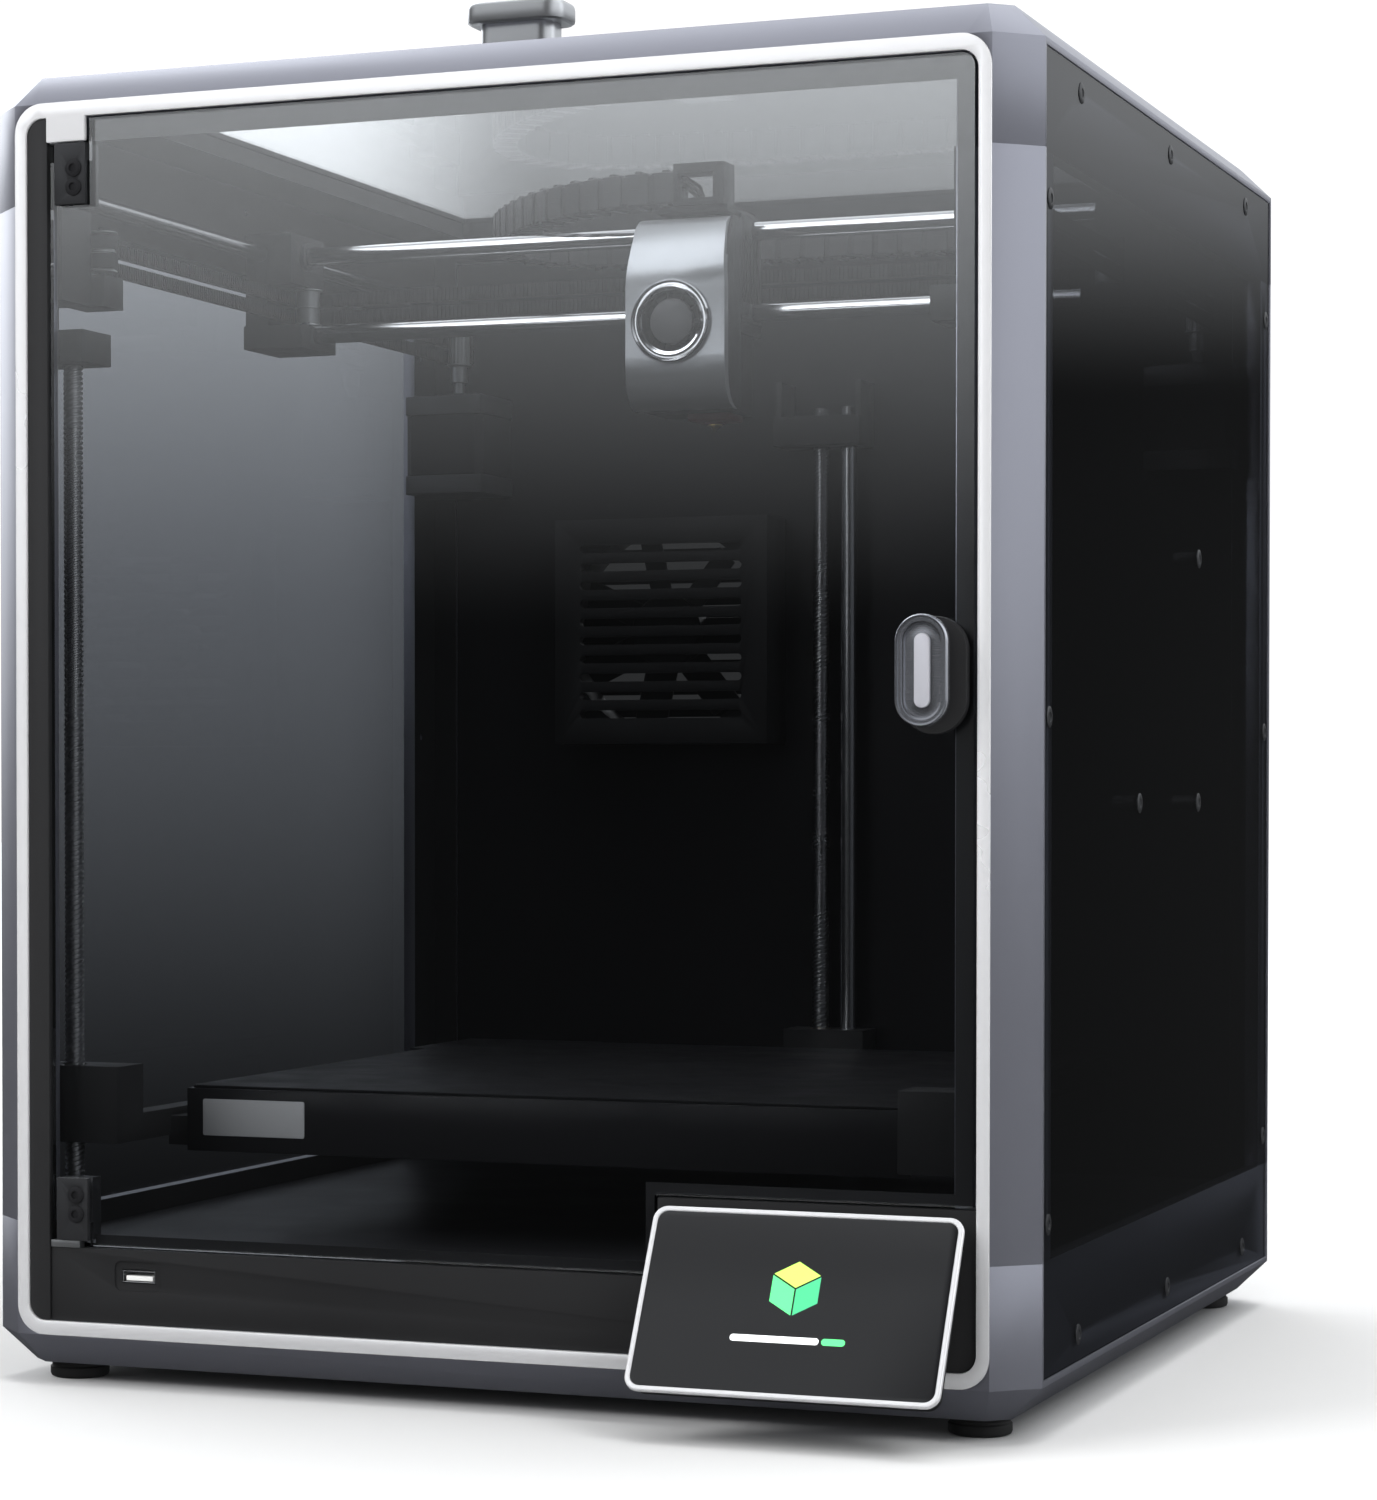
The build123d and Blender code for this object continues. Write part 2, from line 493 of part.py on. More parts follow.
# ---------------------------------------------------------------- gantry
for side, side_name in ((-1, "left"), (1, "right")):
    with BuildPart() as carriage:
        slab(sorted((side * 184, side * 207)), (GANTRY_D - 17, GANTRY_D + 17), (468.5, 491))
        slab(sorted((side * 178, side * 207)), (GANTRY_D - 19, GANTRY_D + 17), (439, 449.5))
        slab(sorted((side * 196, side * 207)), (GANTRY_D - 17, GANTRY_D + 17), (449, 469))
        bar_y(side * Y_ROD_X, Y_ROD_Z, (GANTRY_D - 18, GANTRY_D + 18), (ROD + FIT) / 2, Mode.SUBTRACT)
        for rod_z in X_ROD_Z:
            bar_x(X_ROD_D, rod_z, sorted((side * 177, side * 192)), ROD / 2, Mode.SUBTRACT)
        post(side * pulley_x, GANTRY_D + 1.5, (449, 469), 1.5)
    save(carriage, f"carriage_{side_name}")

with BuildPart() as x_rods:
    for rod_z in X_ROD_Z:
        bar_x(X_ROD_D, rod_z, (-192, 192), ROD / 2)
save(x_rods, "x_rods")

with BuildPart() as cross_belts:
    for belt_z in BELT_Z:
        slab((-178, 178), (CROSS_BELT_D, CROSS_BELT_D + BELT), belt_z)
        for side in (-1, 1):
            slab(sorted((side * 178, side * 182)), (CROSS_BELT_D + 0.2, CROSS_BELT_D + BELT), belt_z)
save(cross_belts, "cross_belts")

# ---------------------------------------------------------------- tool head
with BuildPart() as tool_carriage:
    slab((COVER_X[0] + 1, COVER_X[1] - 1), (214, 241), (436, HEAD_TOP))
    slab((COVER_X[0] + 3, COVER_X[1] - 3), (202, 238), (HEAD_LOW, 436))
    slab((-4, 25), (241, 249), (468, 476))
    slab((-4, 25), (246, 249), (450, 468))
    slab((-3, 29), (205, 241), (HEAD_TOP, CHAIN_Z[0]))
    slab((CHAIN_END_X, CHAIN_END_X + 23), (203, 217), (CHAIN_Z[0], CHAIN_Z[1] + 2))
    slab((CHAIN_END_X + 2, CHAIN_END_X + 18), (202, 218), (CHAIN_Z[0] + 3, CHAIN_Z[1] - 2), Mode.SUBTRACT)
    for rod_z in X_ROD_Z:
        bar_x(X_ROD_D, rod_z, (-30, 60), (ROD + FIT) / 2, Mode.SUBTRACT)
    slab((-4, 26), (213, 226), (440, 477), Mode.SUBTRACT)
    fillet(tool_carriage.edges().filter_by(Axis.Z).group_by(Axis.Z)[0], 3)
save(tool_carriage, "tool_carriage")

with BuildPart() as toolhead_cover:
    with BuildSketch(Plane((COVER_X[0], 0, 0), x_dir=(0, 1, 0), z_dir=(1, 0, 0))):
        with BuildLine():
            Polyline((depth(214), HEAD_TOP), (depth(205), HEAD_TOP), (depth(198), 483), (depth(190), 461),
                     (depth(190), 415), (depth(193), 408), (depth(202), HEAD_LOW), (depth(202), 436),
                     (depth(214), 436), close=True)
        make_face()
    extrude(amount=COVER_X[1] - COVER_X[0])
    with BuildSketch(Plane((COVER_X[0] + 2, 0, 0), x_dir=(0, 1, 0), z_dir=(1, 0, 0))):
        with BuildLine():
            Polyline((depth(215), 485), (depth(206), 485), (depth(200), 481.5), (depth(192.3), 460.5),
                     (depth(192.3), 416), (depth(195), 410), (depth(203), 405), (depth(203), 438),
                     (depth(215), 438), close=True)
        make_face()
    extrude(amount=COVER_X[1] - COVER_X[0] - 4, mode=Mode.SUBTRACT)
    bar_y(FAN_X, FAN_Z, (185, 194), 14.5, Mode.SUBTRACT)
save(toolhead_cover, "toolhead_cover")

with BuildPart() as fan_ring:
    bar_y(FAN_X, FAN_Z, (187, 190), 18)
    fillet(fan_ring.faces().sort_by(Axis.Y)[0].edges(), 1.2)
    bar_y(FAN_X, FAN_Z, (190, 193), 14.4)
    bar_y(FAN_X, FAN_Z, (185, 195), 13, Mode.SUBTRACT)
save(fan_ring, "fan_ring")


def fan_rotor(blades, hub, tip, thick):
    """Rotor at the origin with its axis along Z: hub, blades and their pitch."""
    Cylinder(hub, thick)
    with PolarLocations((hub + tip) / 2 - 0.4, blades):
        Box(tip - hub + 0.8, 0.9, thick * 0.8, rotation=(32, 0, 0))


with BuildPart() as tool_fan_rotor:
    fan_rotor(7, 6.5, 12.4, 3.6)
    tool_fan_rotor.part = tool_fan_rotor.part.rotate(Axis.X, 90).translate((FAN_X, depth(191), FAN_Z))
save(tool_fan_rotor, "tool_fan_rotor")

with BuildPart() as rear_fan_rotor:
    fan_rotor(7, 18, 48, 14)
    rear_fan_rotor.part = rear_fan_rotor.part.rotate(Axis.X, 90).translate(
        (REAR_FAN[0], depth(420), REAR_FAN[1]))
save(rear_fan_rotor, "rear_fan_rotor")

with BuildPart() as rear_fan_housing:
    fan_x = (REAR_FAN[0] - REAR_FAN_SIZE / 2, REAR_FAN[0] + REAR_FAN_SIZE / 2)
    fan_z = (REAR_FAN[1] - REAR_FAN_SIZE / 2, REAR_FAN[1] + REAR_FAN_SIZE / 2)
    slab(fan_x, (405, 433.2), fan_z)
    bar_y(REAR_FAN[0], REAR_FAN[1], (409, 435), 51, Mode.SUBTRACT)
    with BuildSketch(front_plane(412)):
        with Locations(REAR_FAN):
            with GridLocations(0, 9, 1, 10):
                SlotOverall(84, 4)
    extrude(amount=10, mode=Mode.SUBTRACT)
    slab((REAR_FAN[0] - 51, REAR_FAN[0] + 51), (431, 433.2), (REAR_FAN[1] - 4, REAR_FAN[1] + 4))
save(rear_fan_housing, "rear_fan_housing")

with BuildPart() as extruder_hotend:
    slab((-3.6, 25.6), (214, 226), (440, 476.6))
    slab((NOZZLE_X - 10, NOZZLE_X + 10), (NOZZLE_D - 9, NOZZLE_D + 9), (NOZZLE_TIP + 3.5, HEAD_LOW))
    with BuildSketch(Plane.XY.offset(NOZZLE_TIP + 3.5)):
        with Locations((NOZZLE_X, depth(NOZZLE_D))):
            Circle(3.2)
    extrude(amount=-3.5, taper=38)
save(extruder_hotend, "extruder_hotend")

with BuildPart() as drag_chain:
    with BuildSketch(Plane.XY.offset(CHAIN_Z[0])):
        with BuildLine() as chain_route:
            FilletPolyline(
                (CHAIN_END_X, depth(209)), (-24, depth(209)), (-72, depth(238)), (-118, depth(300)),
                (-124, depth(352)), (-84, depth(390)), (150, depth(391)), radius=(60, 100, 70, 50, 60))
        trace(line_width=CHAIN_WIDE)
    extrude(amount=CHAIN_Z[1] - CHAIN_Z[0])
save(drag_chain, "drag_chain")

# ---------------------------------------------------------------- bed
with BuildPart() as bed_frame:
    slab((-BED_X + 1, BED_X - 1), (62, 366), (93, 106))
    slab((-BED_X + 16, BED_X - 16), (78, 350), (92, 98), Mode.SUBTRACT)
    for side in (-1, 1):
        slab(sorted((side * 150, side * 164)), (60, 100), (93, 105))
        slab(sorted((side * 163, side * 206)), (14, 36), (97, 128))
        slab(sorted((side * 163, side * 174)), (30, 100), (97, 108))
        slab(sorted((side * 153, side * 166)), (62, 100), (97, 105))
    slab((-18, 30), (366, 410), (93, 106))
    slab((-14, 26), (410, 431), (93, 124))
    for screw_x, screw_d in SCREWS.values():
        post(screw_x, screw_d, (90, 130), 5.2, Mode.SUBTRACT)
    for guide_x, guide_d in GUIDES.values():
        post(guide_x, guide_d, (90, 130), (ROD + FIT) / 2, Mode.SUBTRACT)
save(bed_frame, "bed_frame")

with BuildPart() as screw_nuts:
    for side_name, (screw_x, screw_d) in SCREWS.items():
        post(screw_x, screw_d, (97, 124), 5.2)
        post(screw_x, screw_d, (90, 130), (ROD + FIT) / 2, Mode.SUBTRACT)
save(screw_nuts, "screw_nuts")

with BuildPart() as heated_plate:
    slab((-BED_X, BED_X), (60, BED_D[1]), (108, BED_Z[1] - 1.2))
    for standoff_x in (-130, 130):
        for standoff_d in (84, 344):
            post(standoff_x, standoff_d, (106, 108), 4)
save(heated_plate, "heated_plate")

with BuildPart() as bed_fascia:
    slab((-BED_X, BED_X), (BED_D[0], 60), (BED_Z[0], BED_Z[1] - 1.2))
save(bed_fascia, "bed_fascia")

with BuildPart() as build_plate:
    slab((-BED_X + 1, BED_X - 1), (BED_D[0] + 1, BED_D[1] - 1), (BED_Z[1] - 1.2, BED_Z[1]))
    fillet(build_plate.edges().filter_by(Axis.Z), 4)
    slab((-BED_X - 8, -BED_X + 60), (300, BED_D[1] + 4), (BED_Z[1] - 1.2, BED_Z[1]))
save(build_plate, "build_plate")

# ---------------------------------------------------------------- electrics
with BuildPart() as electronics:
    slab((60, 180), (60, 275), (13, 43))
    slab((-170, -40), (70, 190), (16, 17.6))
    for post_x in (-165, -45):
        for post_d in (75, 185):
            post(post_x, post_d, (13, 16), 3)
    slab((-140, -100), (95, 135), (17.6, 32))
    with Locations((-70, depth(130), 22)):
        with GridLocations(0, 18, 1, 5):
            Box(12, 12, 9)
save(electronics, "electronics")

with BuildPart() as power_inlet:
    slab((108, 172), (436, 438.5), (25, 55))
    slab((112.2, 167.8), (415, 436), (28.7, 51.3))
    slab((114, 138), (417, 440), (31, 49), Mode.SUBTRACT)
    slab((144.5, 163.5), (422, 440), (32, 48), Mode.SUBTRACT)
    for pin_x in (120, 126, 132):
        slab((pin_x - 1, pin_x + 1), (417, 432), (37, 43))
save(power_inlet, "power_inlet")

with BuildPart() as power_switch:
    with BuildSketch(Plane((146.5, 0, 0), x_dir=(0, 1, 0), z_dir=(1, 0, 0))):
        with BuildLine():
            Polyline((depth(430), 34.2), (depth(430), 45.8), (depth(440), 45.8), (depth(437.5), 40),
                     (depth(438.5), 34.2), close=True)
        make_face()
    extrude(amount=15)
save(power_switch, "power_switch")

with BuildPart() as chamber_light:
    slab((-60, 60), (FLANGE_D[1], 16), (502, 509))
save(chamber_light, "chamber_light")
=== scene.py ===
"""Looks of an enclosed desktop FDM printer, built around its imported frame.

Sizes are in millimetres until they reach a mesh. A depth is counted from the front face towards the back.
"""
from __future__ import annotations

import json
import logging
import math
from dataclasses import dataclass
from enum import Enum

import bmesh
import bpy
from mathutils import Matrix, Vector

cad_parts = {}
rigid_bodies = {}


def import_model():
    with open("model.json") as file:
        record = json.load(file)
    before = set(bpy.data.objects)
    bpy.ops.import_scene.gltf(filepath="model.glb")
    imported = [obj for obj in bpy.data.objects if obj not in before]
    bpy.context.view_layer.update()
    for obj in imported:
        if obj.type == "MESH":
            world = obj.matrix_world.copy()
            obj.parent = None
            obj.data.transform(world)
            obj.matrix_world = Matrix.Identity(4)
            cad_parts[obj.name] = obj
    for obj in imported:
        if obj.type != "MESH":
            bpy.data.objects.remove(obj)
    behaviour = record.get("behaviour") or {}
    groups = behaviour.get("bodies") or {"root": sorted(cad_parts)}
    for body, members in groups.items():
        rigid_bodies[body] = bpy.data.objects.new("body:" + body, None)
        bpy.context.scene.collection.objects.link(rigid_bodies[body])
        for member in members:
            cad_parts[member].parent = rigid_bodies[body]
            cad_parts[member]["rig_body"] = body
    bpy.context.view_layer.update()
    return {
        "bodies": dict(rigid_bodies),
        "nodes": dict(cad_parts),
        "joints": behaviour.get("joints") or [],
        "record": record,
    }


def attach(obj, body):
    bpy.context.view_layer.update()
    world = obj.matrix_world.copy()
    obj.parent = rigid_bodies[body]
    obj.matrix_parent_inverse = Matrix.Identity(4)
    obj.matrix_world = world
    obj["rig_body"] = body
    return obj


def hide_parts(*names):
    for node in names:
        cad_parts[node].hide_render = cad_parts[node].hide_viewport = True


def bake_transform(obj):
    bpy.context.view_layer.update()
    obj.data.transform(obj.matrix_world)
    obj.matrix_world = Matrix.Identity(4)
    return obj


LOG = logging.getLogger("printer")
MM = 0.001
FRONT_FACE_Y = -200.0      # the body's front face in the frame

CHAIN_END = (5.0, 209.0)     # x and depth at which the cable chain meets the tool head

Place = tuple[float, float, float]


def spot(x: float, depth: float, z: float) -> Vector:
    """A point of the frame in metres, from millimetres and a depth behind the front face."""
    return Vector((x, depth + FRONT_FACE_Y, z)) * MM


class Axis(Enum):
    """The direction in which a round shape stands."""

    X = "X"
    Y = "Y"
    Z = "Z"

    @property
    def turn(self) -> Matrix:
        """Rotation that lays a shape made along Z along this axis."""
        if self is Axis.X:
            return Matrix.Rotation(math.radians(90), 4, "Y")
        if self is Axis.Y:
            return Matrix.Rotation(math.radians(90), 4, "X")
        return Matrix.Identity(4)


# ---------------------------------------------------------------- shader effects
class Effects:
    """Node groups that several finishes share, each built once."""

    built: dict[str, bpy.types.NodeTree] = {}

    @classmethod
    def grain(cls) -> bpy.types.NodeTree:
        """Fine surface grain with slow patches.

        Returns:
            A group with Scale and Patch inputs that puts out Height and Mask.
        """
        if "grain" in cls.built:
            return cls.built["grain"]
        tree = bpy.data.node_groups.new("surface_grain", "ShaderNodeTree")
        face = tree.interface
        face.new_socket("Scale", in_out="INPUT", socket_type="NodeSocketFloat").default_value = 900.0
        face.new_socket("Patch", in_out="INPUT", socket_type="NodeSocketFloat").default_value = 9.0
        face.new_socket("Height", in_out="OUTPUT", socket_type="NodeSocketFloat")
        face.new_socket("Mask", in_out="OUTPUT", socket_type="NodeSocketFloat")
        entry, leave = tree.nodes.new("NodeGroupInput"), tree.nodes.new("NodeGroupOutput")
        coords = tree.nodes.new("ShaderNodeTexCoord")
        fine, patch = tree.nodes.new("ShaderNodeTexNoise"), tree.nodes.new("ShaderNodeTexNoise")
        fine.inputs["Detail"].default_value = 2.0
        patch.inputs["Detail"].default_value = 4.0
        patch.inputs["Roughness"].default_value = 0.6
        for noise, socket in ((fine, "Scale"), (patch, "Patch")):
            tree.links.new(coords.outputs["Object"], noise.inputs["Vector"])
            tree.links.new(entry.outputs[socket], noise.inputs["Scale"])
        tree.links.new(fine.outputs["Fac"], leave.inputs["Height"])
        tree.links.new(patch.outputs["Fac"], leave.inputs["Mask"])
        cls.built["grain"] = tree
        return tree

    @classmethod
    def brushing(cls) -> bpy.types.NodeTree:
        """Long brush strokes along one direction.

        Returns:
            A group with a Stretch input that puts out Height.
        """
        if "brushing" in cls.built:
            return cls.built["brushing"]
        tree = bpy.data.node_groups.new("brush_strokes", "ShaderNodeTree")
        face = tree.interface
        face.new_socket("Stretch", in_out="INPUT", socket_type="NodeSocketVector").default_value = (60, 60, 4000)
        face.new_socket("Height", in_out="OUTPUT", socket_type="NodeSocketFloat")
        entry, leave = tree.nodes.new("NodeGroupInput"), tree.nodes.new("NodeGroupOutput")
        coords, scale = tree.nodes.new("ShaderNodeTexCoord"), tree.nodes.new("ShaderNodeVectorMath")
        scale.operation = "MULTIPLY"
        noise = tree.nodes.new("ShaderNodeTexNoise")
        noise.inputs["Scale"].default_value = 1.0
        noise.inputs["Detail"].default_value = 3.0
        tree.links.new(coords.outputs["Object"], scale.inputs[0])
        tree.links.new(entry.outputs["Stretch"], scale.inputs[1])
        tree.links.new(scale.outputs["Vector"], noise.inputs["Vector"])
        tree.links.new(noise.outputs["Fac"], leave.inputs["Height"])
        cls.built["brushing"] = tree
        return tree


Colour = tuple[float, float, float]


@dataclass(frozen=True)
class Finish:
    """An opaque surface: two close colours, a span of roughness and a fine grain."""

    name: str
    light: Colour
    dark: Colour
    roughness: tuple[float, float]
    metallic: float = 0.0
    grain: float = 900.0
    bump: float = 0.05
    patch: float = 9.0
    coat: float = 0.0
    specular: float = 0.5
    stretch: Place | None = None
    glow: float = 0.0

    def build(self) -> bpy.types.Material:
        """The material, made on first use.

        Returns:
            A node material with this finish.
        """
        found = bpy.data.materials.get(self.name)
        if found:
            return found
        material = bpy.data.materials.new(self.name)
        material.use_nodes = True
        nodes, links = material.node_tree.nodes, material.node_tree.links
        surface = nodes["Principled BSDF"]
        surface.inputs["Metallic"].default_value = self.metallic
        surface.inputs["Coat Weight"].default_value = self.coat
        surface.inputs["Coat Roughness"].default_value = 0.12
        surface.inputs["Specular IOR Level"].default_value = self.specular
        grain = nodes.new("ShaderNodeGroup")
        grain.node_tree = Effects.grain()
        grain.inputs["Scale"].default_value = self.grain
        grain.inputs["Patch"].default_value = self.patch
        tone = nodes.new("ShaderNodeMix")
        tone.data_type = "RGBA"
        tone.inputs["A"].default_value = (*self.dark, 1)
        tone.inputs["B"].default_value = (*self.light, 1)
        links.new(grain.outputs["Mask"], tone.inputs["Factor"])
        links.new(tone.outputs["Result"], surface.inputs["Base Color"])
        gloss = nodes.new("ShaderNodeMapRange")
        gloss.inputs["From Min"].default_value = 0.3
        gloss.inputs["From Max"].default_value = 0.7
        gloss.inputs["To Min"].default_value = self.roughness[0]
        gloss.inputs["To Max"].default_value = self.roughness[1]
        links.new(grain.outputs["Mask"], gloss.inputs["Value"])
        links.new(gloss.outputs["Result"], surface.inputs["Roughness"])
        height = grain.outputs["Height"]
        if self.stretch:
            brush = nodes.new("ShaderNodeGroup")
            brush.node_tree = Effects.brushing()
            brush.inputs["Stretch"].default_value = self.stretch
            height = brush.outputs["Height"]
        bump = nodes.new("ShaderNodeBump")
        bump.inputs["Strength"].default_value = self.bump
        bump.inputs["Distance"].default_value = 0.0002
        links.new(height, bump.inputs["Height"])
        links.new(bump.outputs["Normal"], surface.inputs["Normal"])
        if self.glow:
            surface.inputs["Emission Color"].default_value = (*self.light, 1)
            surface.inputs["Emission Strength"].default_value = self.glow
        return material


@dataclass(frozen=True)
class ClearFinish:
    """A see-through sheet with its own tint, which lets the light inside through."""

    name: str
    tint: Colour
    roughness: float = 0.0
    index: float = 1.45

    def build(self) -> bpy.types.Material:
        """The material, made on first use.

        Returns:
            A node material that refracts, and passes tinted light to what is behind it.
        """
        found = bpy.data.materials.get(self.name)
        if found:
            return found
        material = bpy.data.materials.new(self.name)
        material.use_nodes = True
        nodes, links = material.node_tree.nodes, material.node_tree.links
        surface, output = nodes["Principled BSDF"], nodes["Material Output"]
        surface.inputs["Base Color"].default_value = (*self.tint, 1)
        surface.inputs["Roughness"].default_value = self.roughness
        surface.inputs["IOR"].default_value = self.index
        surface.inputs["Transmission Weight"].default_value = 1.0
        passing = nodes.new("ShaderNodeBsdfTransparent")
        passing.inputs["Color"].default_value = (*self.tint, 1)
        rays, blend = nodes.new("ShaderNodeLightPath"), nodes.new("ShaderNodeMixShader")
        links.new(rays.outputs["Is Shadow Ray"], blend.inputs["Fac"])
        links.new(surface.outputs["BSDF"], blend.inputs[1])
        links.new(passing.outputs["BSDF"], blend.inputs[2])
        links.new(blend.outputs["Shader"], output.inputs["Surface"])
        return material


class Finishes:
    """Every finish of the machine, named as a maker would."""

    FRAME = Finish("frame_slate_metal", (0.31, 0.315, 0.365), (0.285, 0.29, 0.335), (0.30, 0.36), 0.75,
                   grain=2600, bump=0.03, coat=0.1)
    TRIM = Finish("trim_bright_alloy", (0.93, 0.93, 0.95), (0.90, 0.90, 0.92), (0.22, 0.28), 0.45, grain=2400,
                  bump=0.03, coat=0.3)
    BLACK_STEEL = Finish("black_coated_steel", (0.016, 0.016, 0.018), (0.011, 0.011, 0.012), (0.36, 0.46),
                         grain=1700, bump=0.02, specular=0.18)
    BLACK_PLASTIC = Finish("black_moulded_plastic", (0.021, 0.021, 0.022), (0.015, 0.015, 0.016), (0.42, 0.54),
                           grain=1500, bump=0.04, specular=0.3)
    STRIP = Finish("door_strip_plastic", (0.024, 0.024, 0.025), (0.020, 0.020, 0.021), (0.42, 0.5), grain=1500,
                   bump=0.04, specular=0.3)
    DARK_METAL = Finish("dark_anodised_metal", (0.055, 0.056, 0.06), (0.042, 0.043, 0.046), (0.32, 0.42), 0.6,
                        grain=2000, bump=0.08)
    PRINT = Finish("door_border_print", (0.028, 0.028, 0.030), (0.024, 0.024, 0.026), (0.30, 0.36), grain=900,
                   bump=0.01)
    SILVER = Finish("satin_silver", (0.60, 0.61, 0.63), (0.54, 0.55, 0.57), (0.27, 0.34), 0.9, grain=2600,
                    bump=0.05)
    BRUSHED = Finish("brushed_silver", (0.50, 0.51, 0.55), (0.45, 0.46, 0.50), (0.20, 0.28), 0.95,
                     bump=0.18, stretch=(80.0, 80.0, 5200.0))
    BAR = Finish("handle_bar_satin", (0.72, 0.72, 0.78), (0.66, 0.66, 0.72), (0.4, 0.5), 0.5, bump=0.03)
    COVER = Finish("toolhead_silver_paint", (0.44, 0.45, 0.47), (0.40, 0.41, 0.43), (0.30, 0.36), 0.7,
                   grain=2800, bump=0.03, coat=0.2)
    CHROME = Finish("polished_chrome", (0.86, 0.86, 0.88), (0.80, 0.80, 0.82), (0.06, 0.12), 1.0, bump=0.01)
    ROD = Finish("ground_steel_rod", (0.72, 0.72, 0.73), (0.66, 0.66, 0.67), (0.13, 0.20), 1.0, bump=0.05)
    THREAD = Finish("rolled_thread_steel", (0.62, 0.62, 0.63), (0.50, 0.50, 0.51), (0.22, 0.32), 1.0, bump=0.04)
    BELT = Finish("belt_rubber_black", (0.020, 0.020, 0.020), (0.014, 0.014, 0.014), (0.55, 0.7), grain=2200,
                  bump=0.2)
    CHAIN = Finish("chain_plastic", (0.036, 0.036, 0.037), (0.026, 0.026, 0.027), (0.38, 0.5),
                   grain=1500, bump=0.04)
    RUBBER = Finish("foot_rubber", (0.016, 0.016, 0.016), (0.010, 0.010, 0.010), (0.6, 0.78), grain=1300,
                    bump=0.3)
    BRASS = Finish("turned_brass", (0.72, 0.52, 0.24), (0.62, 0.44, 0.19), (0.24, 0.34), 1.0, bump=0.04)
    SLEEVE = Finish("red_silicone_sleeve", (0.20, 0.016, 0.012), (0.14, 0.010, 0.008), (0.5, 0.6), grain=1300,
                    bump=0.2)
    SHEET = Finish("textured_build_sheet", (0.012, 0.012, 0.013), (0.006, 0.006, 0.007), (0.42, 0.6),
                   grain=900, bump=0.10, patch=30, specular=0.15)
    PLATE = Finish("badge_satin_plate", (0.62, 0.62, 0.63), (0.56, 0.56, 0.57), (0.5, 0.6), 0.2, bump=0.02)
    ALLOY = Finish("machined_alloy", (0.56, 0.57, 0.58), (0.48, 0.49, 0.50), (0.28, 0.38), 0.9, grain=2000,
                   bump=0.06)
    HUB = Finish("fan_hub_grey", (0.17, 0.17, 0.175), (0.14, 0.14, 0.145), (0.38, 0.45), 0.2, bump=0.05)
    CONTACT = Finish("white_contact_block", (0.90, 0.90, 0.88), (0.85, 0.85, 0.83), (0.35, 0.45), bump=0.05)
    SCREEN_FACE = Finish("screen_black", (0.006, 0.006, 0.007), (0.005, 0.005, 0.006), (0.06, 0.09), coat=0.6,
                         bump=0.0, specular=0.5)
    ICON_GREEN = Finish("display_green", (0.10, 0.75, 0.22), (0.10, 0.72, 0.22), (0.3, 0.3), bump=0.0, glow=1.0)
    ICON_LIME = Finish("display_lime", (0.50, 0.92, 0.12), (0.48, 0.90, 0.12), (0.3, 0.3), bump=0.0, glow=1.0)
    ICON_MINT = Finish("display_mint", (0.06, 0.45, 0.20), (0.06, 0.43, 0.20), (0.3, 0.3), bump=0.0, glow=0.9)
    ICON_WHITE = Finish("display_white", (0.9, 0.92, 0.92), (0.88, 0.90, 0.90), (0.3, 0.3), bump=0.0, glow=1.0)
    DOOR = ClearFinish("door_clear_glass", (0.82, 0.83, 0.84), index=1.5)
    LID = ClearFinish("lid_clear_sheet", (0.86, 0.87, 0.88))
    SMOKED = ClearFinish("side_smoked_sheet", (0.125, 0.13, 0.14), index=1.25)


AnyFinish = Finish | ClearFinish


